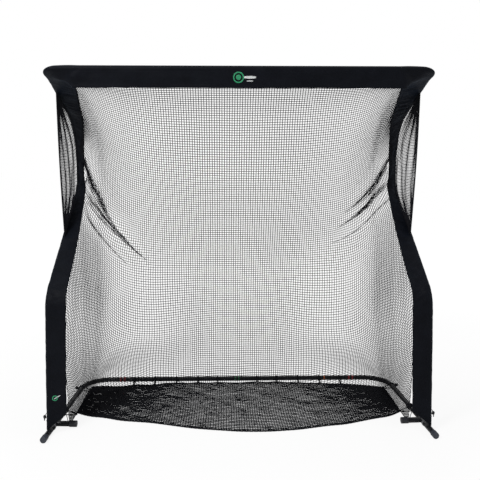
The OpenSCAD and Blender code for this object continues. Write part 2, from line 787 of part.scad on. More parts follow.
module perimeter_cord() { color(cloth_col) cord(cord_pts, cord_r); }
module hem_cords() { color(cloth_col) pair() hem_cord(); }
module net_ties() { color(cloth_col) pair() for (x = tie_xs) tie(x); }
module corner_bungees() { color(cloth_col) pair() for (y = bungee_ys) corner_loop(y); }
module toggle_balls() { color(cloth_col) pair() for (y = bungee_ys) toggle(y); }
module sleeve_toggles() { color(cloth_col) pair() sleeve_toggle(); }
module foot_straps() { color([0.3, 0.3, 0.32]) pair() foot_strap(); }
module badge_top() { color(badge_col) flap_badge(); }
module badge_side() {
  color(badge_col) left() translate([post_x - 62, y_leg - 15, 250])
    rotate([90, 0, 0]) badge(20, 5);
}

foot_left();
foot_right();
front_caps();
stub_caps();
base_corner_left();
base_corner_right();
rear_bar_left();
rear_bar_right();
lower_upright_left();
lower_upright_right();
upper_upright_left();
upper_upright_right();
top_corner_left();
top_corner_right();
top_bar_left();
top_bar_right();
spring_clips();
button_side_left();
button_side_right();
button_rear_left();
button_rear_right();
button_rear_centre();
button_leg_left();
button_leg_right();
button_diagonal_left();
button_diagonal_right();
button_arm_left();
button_arm_right();
button_top_left();
button_top_right();
button_top_centre();
bands_red();
bands_green();
band_orange();
top_sleeve();
side_sleeve_left();
side_sleeve_right();
main_net();
side_net_left();
side_net_right();
floor_net();
front_rope();
perimeter_cord();
hem_cords();
net_ties();
corner_bungees();
toggle_balls();
sleeve_toggles();
foot_straps();
badge_top();
badge_side();
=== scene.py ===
"""Freestanding sports net on a frame of bent tube.

The two uprights stand at x = +-1.187. Each rises from the floor at the front (-Y), leans back to
a waist, and returns forward in an arm to the top bar. Cloth sleeves wrap the uprights and the
bar and carry the main net, which runs down and back to a return net on the floor. The origin
lies on the floor, z = 0, midway between the uprights. Lengths are in metres.
"""
import bpy
import math
import numpy as np
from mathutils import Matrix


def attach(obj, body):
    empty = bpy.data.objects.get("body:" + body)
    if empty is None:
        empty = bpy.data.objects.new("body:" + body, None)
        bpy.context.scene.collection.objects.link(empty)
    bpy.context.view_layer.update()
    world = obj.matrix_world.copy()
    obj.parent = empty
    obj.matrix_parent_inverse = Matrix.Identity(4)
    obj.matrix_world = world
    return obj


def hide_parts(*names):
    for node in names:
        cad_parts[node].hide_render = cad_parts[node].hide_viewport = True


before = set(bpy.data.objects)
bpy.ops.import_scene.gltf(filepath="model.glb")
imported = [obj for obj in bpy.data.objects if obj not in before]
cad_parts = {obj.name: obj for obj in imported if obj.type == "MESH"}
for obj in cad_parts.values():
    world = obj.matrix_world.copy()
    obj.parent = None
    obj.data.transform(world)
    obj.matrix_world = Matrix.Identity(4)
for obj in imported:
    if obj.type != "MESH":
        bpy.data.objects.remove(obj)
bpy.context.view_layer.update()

# ---------------------------------------------------------------- the frame's driving sizes
POST_X = 1.187          # axes of the uprights
LEG_Y = -0.4045         # legs and top bar
WAIST_Y = 0.5155        # rearmost part of the uprights
REAR_Y = 0.5173         # rear bar on the floor
BAR_Z = 2.265           # axis of the top bar
BASE_Z = 0.020          # axis of the tubes on the floor
# heights where the axes of the upright's straight parts would cross
WAIST_TOP_Z, WAIST_LOW_Z, KNEE_Z = 1.920, 1.479, 0.862
KNEE_BEND_R = 0.150
WAIST_BEND_R = 0.150
ARM_BEND_R = 0.450
CORNER_R = 0.075
TUBE_R = 0.017
TOE = math.radians(3.2)  # turn of the foot tubes in plan
ARM_TILT = math.atan2(BAR_Z - WAIST_TOP_Z, WAIST_Y - LEG_Y)
DIAGONAL_TILT = math.atan2(WAIST_LOW_Z - KNEE_Z, WAIST_Y - LEG_Y)


# ---------------------------------------------------------------- numeric tools
def smooth(start, end, x):
    t = np.clip((np.asarray(x, float) - start) / (end - start), 0, 1)
    return t * t * (3 - 2 * t)


def lattice(ix, iy, seed):
    """Repeatable value from -1 to 1 for each whole-number lattice point."""
    h = (ix.astype(np.int64) * 374761393 + iy.astype(np.int64) * 668265263
         + seed * 974711) & 0xFFFFFFFF
    h = ((h ^ (h >> 13)) * 1274126177) & 0xFFFFFFFF
    return ((h ^ (h >> 16)) & 0xFFFF) / 32767.5 - 1.0


def noise2(x, y, seed):
    """Smooth value noise from -1 to 1."""
    x, y = np.broadcast_arrays(np.asarray(x, float), np.asarray(y, float))
    ix, iy = np.floor(x), np.floor(y)
    fx, fy = x - ix, y - iy
    fx, fy = fx * fx * (3 - 2 * fx), fy * fy * (3 - 2 * fy)
    low = lattice(ix, iy, seed) * (1 - fx) + lattice(ix + 1, iy, seed) * fx
    high = lattice(ix, iy + 1, seed) * (1 - fx) + lattice(ix + 1, iy + 1, seed) * fx
    return low * (1 - fy) + high * fy


def unit(v):
    return v / np.maximum(np.linalg.norm(v, axis=-1, keepdims=True), 1e-12)


def arc_length(points):
    """Length along the path at each of its points."""
    return np.concatenate([[0], np.cumsum(np.linalg.norm(np.diff(points, axis=0), axis=1))])


def sample(points, lengths, at):
    """Points of the path at the given lengths."""
    return np.stack([np.interp(at, lengths, column) for column in points.T], 1)


def resample(points, step=None, n=None):
    """Evenly spaced points along the path, at about the given step or n in number."""
    lengths = arc_length(points)
    if n is None:
        n = max(3, int(round(lengths[-1] / step)) + 1)
    return sample(points, lengths, np.linspace(0, lengths[-1], n))


def chaikin(points, times=3):
    """Rounds an open path by cutting its corners."""
    points = np.asarray(points, float)
    for _ in range(times):
        a, b = points[:-1], points[1:]
        cut = np.stack([0.75 * a + 0.25 * b, 0.25 * a + 0.75 * b], 1)
        points = np.concatenate([points[:1], cut.reshape(-1, points.shape[1]), points[-1:]])
    return points


def blur(values, kernel, **padding):
    """Running average weighted by an odd kernel; the ends are held unless padding says more."""
    padded = np.pad(values, len(kernel) // 2, **(padding or {"mode": "edge"}))
    return np.convolve(padded, kernel / kernel.sum(), "valid")


def circle(n):
    return np.linspace(0, 2 * math.pi, n, endpoint=False)


def mirror(points):
    return points * np.array([-1.0, 1.0, 1.0])


def sideways(axis):
    """A unit vector square to the axis."""
    reference = [0, 0, 1.0] if abs(axis[2]) < 0.9 else [1.0, 0, 0]
    return unit(np.cross(axis, reference))


# ---------------------------------------------------------------- mesh tools
class Build:
    """Collects the vertices, faces and UVs of one mesh."""

    def __init__(self):
        self.verts, self.faces, self.uvs, self.count = [], [], [], 0

    def add(self, verts, faces, uv=None):
        """faces: a list of index arrays, each of one face size."""
        verts = np.asarray(verts, float).reshape(-1, 3)
        uv = np.zeros((len(verts), 2)) if uv is None else np.asarray(uv, float).reshape(-1, 2)
        self.faces += [np.asarray(f, np.int64) + self.count for f in faces]
        self.verts.append(verts)
        self.uvs.append(uv)
        self.count += len(verts)

    def put(self, name, material, slot, *replaced):
        """Makes the object and ties it to the frame, in place of the named CAD nodes."""
        verts, uv = np.concatenate(self.verts), np.concatenate(self.uvs)
        used = np.zeros(len(verts), bool)
        for f in self.faces:
            used[f.ravel()] = True
        remap = np.cumsum(used) - 1
        verts, uv = verts[used], uv[used]
        loops = remap[np.concatenate([f.ravel() for f in self.faces])].astype(np.int32)
        totals = np.concatenate([np.full(len(f), f.shape[1]) for f in self.faces])
        starts = np.concatenate([[0], np.cumsum(totals)[:-1]]).astype(np.int32)
        mesh = bpy.data.meshes.new(name)
        mesh.vertices.add(len(verts))
        mesh.vertices.foreach_set("co", verts.astype(np.float32).ravel())
        mesh.loops.add(len(loops))
        mesh.loops.foreach_set("vertex_index", loops)
        mesh.polygons.add(len(totals))
        mesh.polygons.foreach_set("loop_start", starts)
        mesh.update(calc_edges=True)
        layer = mesh.uv_layers.new(name="UVMap")
        layer.data.foreach_set("uv", uv[loops].astype(np.float32).ravel())
        mesh.materials.append(material)
        mesh.polygons.foreach_set("use_smooth", np.ones(len(totals), bool))
        mesh.validate()
        obj = bpy.data.objects.new(name, mesh)
        bpy.context.scene.collection.objects.link(obj)
        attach(obj, "frame")
        if replaced:
            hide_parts(*replaced)


def ring_faces(rings, n, closed=False):
    """Quads between successive rings of n points; closed joins the last ring to the first."""
    i = np.arange(rings if closed else rings - 1)[:, None]
    k = np.arange(n)[None, :]
    i1, k1 = (i + 1) % rings, (k + 1) % n
    return np.stack([i * n + k, i * n + k1, i1 * n + k1, i1 * n + k], -1).reshape(-1, 4)


def shell_faces(rings, n):
    """Faces of two skins of rings, the second after the first, joined at both end rings."""
    skin = ring_faces(rings, n)
    other = rings * n
    last = other - n
    k = np.arange(n)
    k1 = (k + 1) % n
    first_rim = np.stack([k, k + other, k1 + other, k1], -1)
    last_rim = np.stack([k, k1, k1 + other, k + other], -1) + last
    return [skin, skin[:, ::-1] + other, first_rim, last_rim]


def path_frames(points, closed):
    """Unit tangents and two side vectors that turn as little as possible along the path."""
    if closed:
        tangent = unit(np.roll(points, -1, 0) - np.roll(points, 1, 0))
    else:
        tangent = unit(np.gradient(points, axis=0))
    first = np.zeros_like(tangent)
    first[0] = across = sideways(tangent[0])
    for i in range(1, len(tangent)):
        across = across - tangent[i] * np.dot(across, tangent[i])
        across = across / max(np.linalg.norm(across), 1e-9)
        first[i] = across
    if closed:
        # spread the leftover turn along the loop
        second = np.cross(tangent, first)
        leftover = math.atan2(np.dot(first[-1], second[0]), np.dot(first[-1], first[0]))
        turn = np.linspace(0, leftover, len(tangent))[:, None]
        first = first * np.cos(turn) - second * np.sin(turn)
    return tangent, first, np.cross(tangent, first)


def sweep(build, points, radius, n=8, closed=False, shape=None):
    """Round cord of n sides along points, with domed ends when open.

    radius is one number or one per point; shape(angle, length) scales it.
    """
    points = np.asarray(points, float)
    tangent, first, second = path_frames(points, closed)
    m = len(points)
    length = arc_length(points)
    angle = circle(n)
    radii = np.broadcast_to(np.asarray(radius, float).reshape(-1, 1), (m, n)).copy()
    if shape is not None:
        radii = radii * shape(angle[None, :], length[:, None])
    spoke = (np.cos(angle)[None, :, None] * first[:, None, :]
             + np.sin(angle)[None, :, None] * second[:, None, :])
    verts = (points[:, None, :] + radii[..., None] * spoke).reshape(-1, 3)
    uv = np.stack([np.broadcast_to(angle / (2 * math.pi), (m, n)),
                   np.broadcast_to(length[:, None], (m, n))], -1).reshape(-1, 2)
    faces = [ring_faces(m, n, closed)]
    if not closed:
        verts = np.concatenate([verts, points[:1] - tangent[:1] * 0.3 * radii[0].mean(),
                                points[-1:] + tangent[-1:] * 0.3 * radii[-1].mean()])
        uv = np.concatenate([uv, [[0.5, 0]], [[0.5, length[-1]]]])
        k = np.arange(n)
        k1 = (k + 1) % n
        faces.append(np.stack([np.full(n, m * n), k1, k], -1))
        faces.append(np.stack([np.full(n, m * n + 1), (m - 1) * n + k, (m - 1) * n + k1], -1))
    build.add(verts, faces, uv)


def twist(amount, strands, pitch, wave=np.cos):
    """Shape for sweep: ridges of twisted or braided strands."""
    return lambda angle, length: 1 + amount * wave(
        strands * angle + length * 2 * math.pi / pitch)


def lathe(build, profile, origin, axis, n):
    """profile: rows of (radius, height) along axis from origin."""
    profile = np.asarray(profile, float)
    axis = unit(np.asarray(axis, float))
    first = sideways(axis)
    second = np.cross(axis, first)
    angle = circle(n)
    spoke = np.cos(angle)[None, :, None] * first + np.sin(angle)[None, :, None] * second
    verts = origin + profile[:, None, 1:2] * axis + profile[:, None, 0:1] * spoke
    m = len(profile)
    uv = np.stack([np.broadcast_to(angle / (2 * math.pi), (m, n)),
                   np.broadcast_to(profile[:, 1:2], (m, n))], -1)
    build.add(verts, [ring_faces(m, n)], uv)


# ---------------------------------------------------------------- materials
class Shader:
    """A material's Principled shader and the nodes that feed it."""

    def __init__(self, name):
        self.material = bpy.data.materials.new(name)
        self.material.use_nodes = True
        self.tree = self.material.node_tree
        self.bsdf = self.tree.nodes["Principled BSDF"]

    def feed(self, socket, value):
        """Links a node's output to the socket, or stores a plain value in it."""
        if isinstance(value, bpy.types.NodeSocket):
            self.tree.links.new(value, socket)
        else:
            socket.default_value = value

    def node(self, kind, **values):
        """New node; each value goes to the input of that name, or else to the property."""
        node = self.tree.nodes.new(kind)
        for key, value in values.items():
            if key in node.inputs.keys():
                self.feed(node.inputs[key], value)
            else:
                setattr(node, key, value)
        return node

    def set(self, values):
        for key, value in values.items():
            self.feed(self.bsdf.inputs[key], value)

    def coords(self, space="Object", scale=(1, 1, 1)):
        source = self.node("ShaderNodeTexCoord").outputs[space]
        return self.node("ShaderNodeMapping", Vector=source, Scale=scale).outputs["Vector"]

    def uv(self):
        """The two UV components."""
        parts = self.node("ShaderNodeSeparateXYZ", Vector=self.coords("UV"))
        return parts.outputs[0], parts.outputs[1]

    def noise(self, vector, scale, detail, roughness=0.5):
        return self.node("ShaderNodeTexNoise", Vector=vector, Scale=scale, Detail=detail,
                         Roughness=roughness).outputs["Fac"]

    def ramp(self, factor, at, colors):
        """Blend from the first colour or grey to the second between the two positions."""
        node = self.node("ShaderNodeValToRGB", Fac=factor)
        for stop, position, color in zip(node.color_ramp.elements, at, colors):
            stop.position = position
            stop.color = (*color, 1) if isinstance(color, tuple) else (color, color, color, 1)
        return node.outputs["Color"]

    def math(self, operation, *operands):
        node = self.node("ShaderNodeMath", operation=operation)
        for socket, operand in zip(node.inputs, operands):
            self.feed(socket, operand)
        return node.outputs[0]

    def scaled(self, value, by, plus=None):
        if plus is None:
            return self.math("MULTIPLY", value, by)
        return self.math("MULTIPLY_ADD", value, by, plus)

    def mix(self, factor, low, high):
        """Blend of two colours, each an output or an RGB tuple."""
        node = self.node("ShaderNodeMix", data_type="RGBA")
        self.feed(node.inputs[0], factor)
        for i, color in ((6, low), (7, high)):
            self.feed(node.inputs[i], (*color, 1) if isinstance(color, tuple) else color)
        return node.outputs[2]

    def bump(self, height, strength, distance):
        node = self.node("ShaderNodeBump", Strength=strength, Distance=distance, Height=height)
        self.set({"Normal": node.outputs["Normal"]})


def powder_coat():
    s = Shader("frame_powder_coat")
    place = s.coords()
    cloud = s.noise(place, scale=7.0, detail=4.0, roughness=0.6)
    grain = s.noise(place, scale=900.0, detail=2.0)
    marks = s.noise(place, scale=60.0, detail=5.0, roughness=0.7)
    base = s.ramp(cloud, at=(0.3, 0.7), colors=((0.0075, 0.008, 0.010), (0.014, 0.0145, 0.018)))
    scuff = s.ramp(marks, at=(0.66, 0.74), colors=(0.0, 1.0))
    s.set({"Base Color": s.mix(s.scaled(scuff, by=0.35), base, (0.05, 0.052, 0.058)),
           "Roughness": s.scaled(cloud, by=0.18, plus=0.22),
           "Specular IOR Level": 0.3, "Coat Weight": 0.08, "Coat Roughness": 0.25})
    s.bump(grain, strength=0.12, distance=0.0003)
    return s.material


def moulded(name, dark, light, roughness=0.5, grain_scale=700.0):
    """Rubber or plastic with a fine grain and paler scuffs."""
    s = Shader(name)
    place = s.coords()
    cloud = s.noise(place, scale=25.0, detail=4.0)
    grain = s.noise(place, scale=grain_scale, detail=3.0)
    marks = s.noise(place, scale=140.0, detail=5.0, roughness=0.75)
    base = s.ramp(cloud, at=(0.3, 0.7), colors=(dark, light))
    scuff = s.ramp(marks, at=(0.62, 0.72), colors=(0.0, 1.0))
    scuff_color = tuple(min(1.0, 1.8 * part + 0.02) for part in light)
    s.set({"Base Color": s.mix(s.scaled(scuff, by=0.3), base, scuff_color),
           "Roughness": s.scaled(marks, by=0.2, plus=roughness - 0.1)})
    s.bump(grain, strength=0.25, distance=0.0004)
    return s.material


def metal(name, color, roughness):
    """Bare metal with a streaked finish."""
    s = Shader(name)
    streaks = s.noise(s.coords(scale=(40, 40, 900)), scale=3.0, detail=4.0)
    cloud = s.noise(s.coords(), scale=180.0, detail=4.0)
    darker = tuple(0.75 * part for part in color)
    s.set({"Base Color": s.ramp(cloud, at=(0.35, 0.65), colors=(darker, color)),
           "Metallic": 1.0,
           "Roughness": s.scaled(streaks, by=0.25, plus=roughness - 0.1)})
    s.bump(streaks, strength=0.08, distance=0.0002)
    return s.material


def sleeve_cloth():
    """Woven polyester: fine plain weave, slight navy cast, soft creases, painted bluish rim
    sheen.
    """
    weave_period = 0.0011
    s = Shader("sleeve_woven_polyester")
    u, v = s.uv()
    warp = s.math("SINE", s.scaled(u, by=2 * math.pi / weave_period))
    weft = s.math("SINE", s.scaled(v, by=2 * math.pi / weave_period))
    weave = s.math("MULTIPLY", warp, weft)
    place = s.coords()
    cloud = s.noise(place, scale=9.0, detail=5.0, roughness=0.6)
    crease = s.noise(place, scale=45.0, detail=4.0, roughness=0.6)
    fleck = s.noise(place, scale=420.0, detail=2.0)
    color = s.ramp(cloud, at=(0.3, 0.7),
                   colors=((0.0030, 0.0036, 0.0058), (0.0062, 0.0074, 0.0112)))
    flecks = s.ramp(fleck, at=(0.55, 0.75), colors=(0.0, 1.0))
    color = s.mix(s.scaled(flecks, by=0.35), color, (0.018, 0.022, 0.032))
    color = s.mix(s.scaled(weave, by=0.25, plus=0.25), color, (0.004, 0.0045, 0.0065))
    # painted sheen: towards grazing angles the base colour turns a brighter blue, a painted rim
    # highlight
    facing = s.node("ShaderNodeLayerWeight", Blend=0.35).outputs["Facing"]
    painted_sheen_falloff = 2.5
    painted_sheen_rim = s.scaled(s.math("POWER", facing, painted_sheen_falloff), by=0.75)
    s.set({"Base Color": s.mix(painted_sheen_rim, color, (0.020, 0.036, 0.066)),
           "Roughness": s.scaled(crease, by=0.2, plus=0.42),
           "Specular IOR Level": 0.07, "Sheen Weight": 0.0, "Sheen Roughness": 0.4,
           "Sheen Tint": (0.45, 0.55, 0.8, 1)})
    height = s.math("ADD", s.scaled(weave, by=0.12), s.scaled(crease, by=1.6))
    s.bump(height, strength=0.5, distance=0.0018)
    return s.material


def braid(name, dark, light, pitch, around):
    """Braided cord or yarn. UV u runs round the cord, v along it in metres."""
    s = Shader(name)
    u, v = s.uv()
    turn = s.scaled(u, by=2 * math.pi * around)
    run = s.scaled(v, by=2 * math.pi / pitch)
    left = s.math("SINE", s.math("ADD", turn, run))
    right = s.math("SINE", s.math("SUBTRACT", turn, run))
    strands = s.math("MULTIPLY", left, right)
    cloud = s.noise(s.coords(), scale=60.0, detail=4.0)
    base = s.ramp(cloud, at=(0.3, 0.7), colors=(dark, light))
    # painted shade: the strand pattern darkens the colour, as shade lying between the strands
    painted_gap_shade = tuple(0.4 * part for part in dark)
    s.set({"Base Color": s.mix(s.scaled(strands, by=0.3, plus=0.3), base, painted_gap_shade),
           "Roughness": 0.75, "Specular IOR Level": 0.08})
    s.bump(strands, strength=0.5, distance=0.0006)
    return s.material


def webbing():
    s = Shader("strap_webbing")
    u, v = s.uv()
    ribs = s.math("SINE", s.math("ADD", s.scaled(u, by=180.0),
                                 s.scaled(v, by=2 * math.pi / 0.003)))
    cloud = s.noise(s.coords(), scale=90.0, detail=4.0)
    base = s.ramp(cloud, at=(0.3, 0.7), colors=((0.16, 0.165, 0.18), (0.26, 0.265, 0.28)))
    s.set({"Base Color": s.mix(s.scaled(ribs, by=0.25, plus=0.25), base, (0.06, 0.062, 0.07)),
           "Roughness": 0.65})
    s.bump(ribs, strength=0.4, distance=0.0005)
    return s.material


def printed(name, color):
    s = Shader(name)
    grain = s.noise(s.coords(), scale=350.0, detail=3.0)
    darker = tuple(0.72 * part for part in color)
    s.set({"Base Color": s.ramp(grain, at=(0.3, 0.62), colors=(darker, color)),
           "Roughness": 0.5})
    s.bump(grain, strength=0.2, distance=0.0003)
    return s.material


TUBE_COAT = powder_coat()
CAP_RUBBER = moulded("cap_rubber", dark=(0.024, 0.028, 0.040), light=(0.042, 0.048, 0.064))
STUB_RUBBER = moulded("stub_cap_rubber", dark=(0.012, 0.013, 0.018),
                      light=(0.022, 0.024, 0.031), roughness=0.42)
TOGGLE = moulded("toggle_moulding", dark=(0.010, 0.0105, 0.013), light=(0.018, 0.019, 0.023),
                 roughness=0.35, grain_scale=500.0)
ZINC = metal("button_zinc", color=(0.62, 0.63, 0.65), roughness=0.28)
SPRING = metal("spring_steel", color=(0.42, 0.43, 0.45), roughness=0.36)
RED_TAPE = moulded("band_tape_red", dark=(0.22, 0.012, 0.016), light=(0.34, 0.02, 0.024),
                   grain_scale=300.0)
GREEN_TAPE = moulded("band_tape_green", dark=(0.012, 0.12, 0.045), light=(0.02, 0.19, 0.07),
                     grain_scale=300.0)
ORANGE_TAPE = moulded("band_tape_orange", dark=(0.38, 0.09, 0.02), light=(0.55, 0.14, 0.03),
                      grain_scale=300.0)
CLOTH = sleeve_cloth()
NET = braid("net_yarn", dark=(0.010, 0.0105, 0.014), light=(0.020, 0.021, 0.026),
            pitch=0.004, around=2)
CORD = braid("cord_braid", dark=(0.007, 0.0075, 0.010), light=(0.015, 0.016, 0.020),
             pitch=0.007, around=4)
THREAD = braid("seam_thread", dark=(0.012, 0.013, 0.018), light=(0.026, 0.029, 0.038),
               pitch=0.0012, around=2)
WEBBING = webbing()
PRINT_GREEN = printed("badge_print_green", color=(0.02, 0.30, 0.13))
PRINT_WHITE = printed("badge_print_white", color=(0.72, 0.74, 0.74))

# ---------------------------------------------------------------- finishes of the CAD nodes
TUBE_PREFIXES = ("foot_left", "foot_right", "base_corner", "rear_bar", "lower_upright",
                 "upper_upright", "top_corner", "top_bar")
NODE_FINISH = {"front_caps": CAP_RUBBER, "stub_caps": STUB_RUBBER, "spring_clips": SPRING,
               "bands_red": RED_TAPE, "bands_green": GREEN_TAPE, "band_orange": ORANGE_TAPE}
SHARP_ANGLE = math.radians(35)


def finish_node(name, material):
    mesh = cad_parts[name].data
    mesh.materials.clear()
    mesh.materials.append(material)
    mesh.polygons.foreach_set("use_smooth", np.ones(len(mesh.polygons), bool))
    mesh.set_sharp_from_angle(angle=SHARP_ANGLE)


for node_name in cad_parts:
    if node_name.startswith(TUBE_PREFIXES):
        finish_node(node_name, TUBE_COAT)
    elif node_name.startswith("button_"):
        finish_node(node_name, ZINC)
    elif node_name in NODE_FINISH:
        finish_node(node_name, NODE_FINISH[node_name])


# ---------------------------------------------------------------- rails of the side sleeves
SLEEVE_BOTTOM_Z = 0.045
PATH_STEP = 0.008
HEM_RISE, HEM_SLANT_LENGTH = 0.076, 0.30   # slanted lower hem of the band


def upright_path():
    """(y, z) points on the upright's axis up to the top corner, and each part's first index."""
    points, first = [], {}

    def straight(start, end):
        n = max(2, int(np.linalg.norm(np.subtract(end, start)) / PATH_STEP))
        for t in np.linspace(0, 1, n, endpoint=False):
            points.append(np.add(start, t * np.subtract(end, start)))

    def bend(start, heading, turn, radius):
        sign = 1 if turn > 0 else -1
        centre = start + sign * radius * np.array([-math.sin(heading), math.cos(heading)])

        def at(t):
            angle = heading + turn * t
            return centre + sign * radius * np.array([math.sin(angle), -math.cos(angle)])

        n = max(3, int(abs(turn) * radius / PATH_STEP))
        points.extend(at(t) for t in np.linspace(0, 1, n, endpoint=False))
        return at(1)

    # distance from each crossing of the straight parts to the start of its bend
    diagonal_turn = math.pi / 2 - DIAGONAL_TILT
    arm_turn = math.pi / 2 - ARM_TILT
    knee_run = KNEE_BEND_R * math.tan(diagonal_turn / 2)
    waist_run = WAIST_BEND_R * math.tan(diagonal_turn / 2)
    arm_run = ARM_BEND_R * math.tan(arm_turn / 2)
    up_diagonal = np.array([math.cos(DIAGONAL_TILT), math.sin(DIAGONAL_TILT)])
    up_arm = np.array([-math.cos(ARM_TILT), math.sin(ARM_TILT)])

    knee = np.array([LEG_Y, KNEE_Z - knee_run])
    straight([LEG_Y, SLEEVE_BOTTOM_Z], knee)
    first["knee"] = len(points)
    diagonal = bend(knee, math.pi / 2, -diagonal_turn, KNEE_BEND_R)
    first["diagonal"] = len(points)
    low_bend = np.array([WAIST_Y, WAIST_LOW_Z]) - waist_run * up_diagonal
    straight(diagonal, low_bend)
    first["low_bend"] = len(points)
    waist = bend(low_bend, DIAGONAL_TILT, diagonal_turn, WAIST_BEND_R)
    first["waist"] = len(points)
    high_bend = np.array([WAIST_Y, WAIST_TOP_Z - arm_run])
    straight(waist, high_bend)
    first["high_bend"] = len(points)
    arm = bend(high_bend, math.pi / 2, arm_turn, ARM_BEND_R)
    first["arm"] = len(points)
    end = np.array([LEG_Y, BAR_Z]) - CORNER_R * up_arm
    straight(arm, end)
    first["end"] = len(points)
    points.append(end)
    return np.array(points), first


def square_left(tangent):
    """2D tangents turned a quarter turn anticlockwise."""
    return np.stack([-tangent[:, 1], tangent[:, 0]], 1)


def band_rails():
    """Tube axis and inner band edge of the right side sleeve, and the lengths along the axis."""
    path, first = upright_path()
    inside = square_left(unit(np.gradient(path, axis=0)))
    length = arc_length(path)
    at = {part: length[i] for part, i in first.items()}
    diagonal = at["low_bend"] - at["diagonal"]
    arm = at["end"] - at["arm"]
    # length along the axis, reach of the band, swing of the band out of the x direction (deg)
    stations = [
        (0.0, 0.100, 0), (at["knee"], 0.101, 0), (at["diagonal"], 0.101, 6),
        (at["diagonal"] + 0.3 * diagonal, 0.101, 12),
        (at["diagonal"] + 0.6 * diagonal, 0.098, 24),
        (at["diagonal"] + 0.8 * diagonal, 0.094, 34),
        (at["low_bend"], 0.090, 44), (at["waist"], 0.088, 56), (at["high_bend"], 0.087, 60),
        (0.5 * (at["high_bend"] + at["arm"]), 0.090, 48), (at["arm"], 0.098, 24),
        (at["arm"] + 0.30 * arm, 0.109, 14), (at["arm"] + 0.55 * arm, 0.128, 13),
        (at["arm"] + 0.78 * arm, 0.149, 15), (at["end"], 0.153, 20)]
    stops, reaches, swings = np.array(stations).T
    reach = blur(np.interp(length, stops, reaches), np.hanning(25))
    swing = blur(np.radians(np.interp(length, stops, swings)), np.hanning(25))
    tube = np.column_stack([np.full(len(path), POST_X), path])
    normal = np.column_stack([np.zeros(len(path)), inside])
    toward = np.outer(-np.cos(swing), [1, 0, 0]) + normal * np.sin(swing)[:, None]
    return tube, tube + toward * reach[:, None], length, at


TUBE_LINE, BAND_EDGE, RAIL_LENGTH, RAIL_AT = band_rails()
# the lower hem is cut on a slant: the band ends higher than the tube side
HEMMED_EDGE = BAND_EDGE.copy()
HEMMED_EDGE[:, 2] += HEM_RISE * np.clip(1 - RAIL_LENGTH / HEM_SLANT_LENGTH, 0, 1)

# ---------------------------------------------------------------- sleeve cloth and stitching
TUBE_ARC_POINTS, FACE_POINTS, EDGE_POINTS = 15, 12, 5
OUT_FACE = TUBE_ARC_POINTS                              # first point of the face from the tube
BACK_FACE = TUBE_ARC_POINTS + FACE_POINTS + EDGE_POINTS  # first point of the face to the tube
CLOTH_THICKNESS = 0.0012


def section(tube_r, edge_r, reach):
    """Outline of a cloth loop round the tube with its band reaching to a rounded edge.

    Returns points, outward normals, and marks: -1 and 1 on the two flat faces, 0 elsewhere.
    """
    slope = np.arccos(np.clip((tube_r - edge_r) / reach, -1, 1))
    arc = slope + (2 * math.pi - 2 * slope) * np.linspace(0, 1, TUBE_ARC_POINTS)
    fold = np.linspace(-slope, slope, EDGE_POINTS)
    t = np.linspace(0, 1, FACE_POINTS + 2)[1:-1, None]
    arc_normals = np.stack([np.cos(arc), np.sin(arc)], 1)
    fold_normals = np.stack([np.cos(fold), np.sin(fold)], 1)
    round_tube = tube_r * arc_normals
    round_edge = np.array([reach, 0]) + edge_r * fold_normals
    points = [round_tube, round_tube[-1] + t * (round_edge[0] - round_tube[-1]),
              round_edge, round_edge[-1] + t * (round_tube[0] - round_edge[-1])]
    normals = [arc_normals, np.tile(fold_normals[0], (FACE_POINTS, 1)),
               fold_normals, np.tile(fold_normals[-1], (FACE_POINTS, 1))]
    marks = [np.zeros(TUBE_ARC_POINTS), -np.ones(FACE_POINTS),
             np.zeros(EDGE_POINTS), np.ones(FACE_POINTS)]
    return np.concatenate(points), np.concatenate(normals), np.concatenate(marks)


def sleeve_skin(tube, edge, tube_r, edge_r, wrinkle, side, reshape):
    """Two-skinned cloth through the rails. Returns its build, outer points and normals."""
    m = len(tube)
    tangent = unit(np.gradient(tube, axis=0))
    reach = np.linalg.norm(edge - tube, axis=1)
    toward = (edge - tube) / reach[:, None]
    across = unit(np.cross(tangent, toward))
    length = arc_length(0.5 * (tube + edge))
    skin, uv = [], []
    for i in range(m):
        p, normal, mark = section(tube_r[i], edge_r, reach[i])
        portion = np.clip(p[:, 0] / reach[i], -0.3, 1.05)
        p = p + normal * wrinkle(length[i], portion, mark, np.arange(len(p)))[:, None]
        skin.append(tube[i] + p[:, :1] * toward[i] + p[:, 1:] * across[i])
        uv.append(np.stack([arc_length(p), np.full(len(p), length[i])], 1))
    skin = np.array(skin)
    if reshape is not None:
        skin = reshape(skin, tube)
    if side < 0:
        skin = mirror(skin)
    around = np.roll(skin, -1, 1) - np.roll(skin, 1, 1)
    normals = unit(np.cross(around, np.gradient(skin, axis=0)))
    if (normals * (skin - skin.mean(1, keepdims=True))).sum() < 0:
        normals = -normals
    faces = shell_faces(m, skin.shape[1])
    if side < 0:
        faces = [f[:, ::-1] for f in faces]
    build = Build()
    build.add(np.stack([skin, skin - normals * CLOTH_THICKNESS]), faces, np.array([uv, uv]))
    return build, skin, normals


def stitches(build, line, normal, pitch=0.0075, length=0.0048, radius=0.00055, lift=0.0004):
    """A row of small raised four-sided stitches along a line on a surface."""
    run = arc_length(line)
    at = np.arange(pitch / 2, run[-1] - pitch / 2, pitch)
    points = sample(line, run, at)
    up = unit(sample(normal, run, at))
    along = unit(sample(line, run, at + 0.001) - points)
    across = np.cross(along, up)
    centre = points + up * lift
    corners = []
    for place, size in ((-0.5, 0.35), (-0.3, 1.0), (0.3, 1.0), (0.5, 0.35)):
        for corner in range(4):
            angle = corner * math.pi / 2
            spoke = up * math.cos(angle) + across * math.sin(angle)
            corners.append(centre + along * place * length + spoke * radius * size)
    faces = ring_faces(4, 4).tolist() + [[3, 2, 1, 0], [12, 13, 14, 15]]
    base = (np.arange(len(points)) * 16)[:, None, None]
    build.add(np.stack(corners, 1), [(np.array(faces)[None] + base).reshape(-1, 4)])


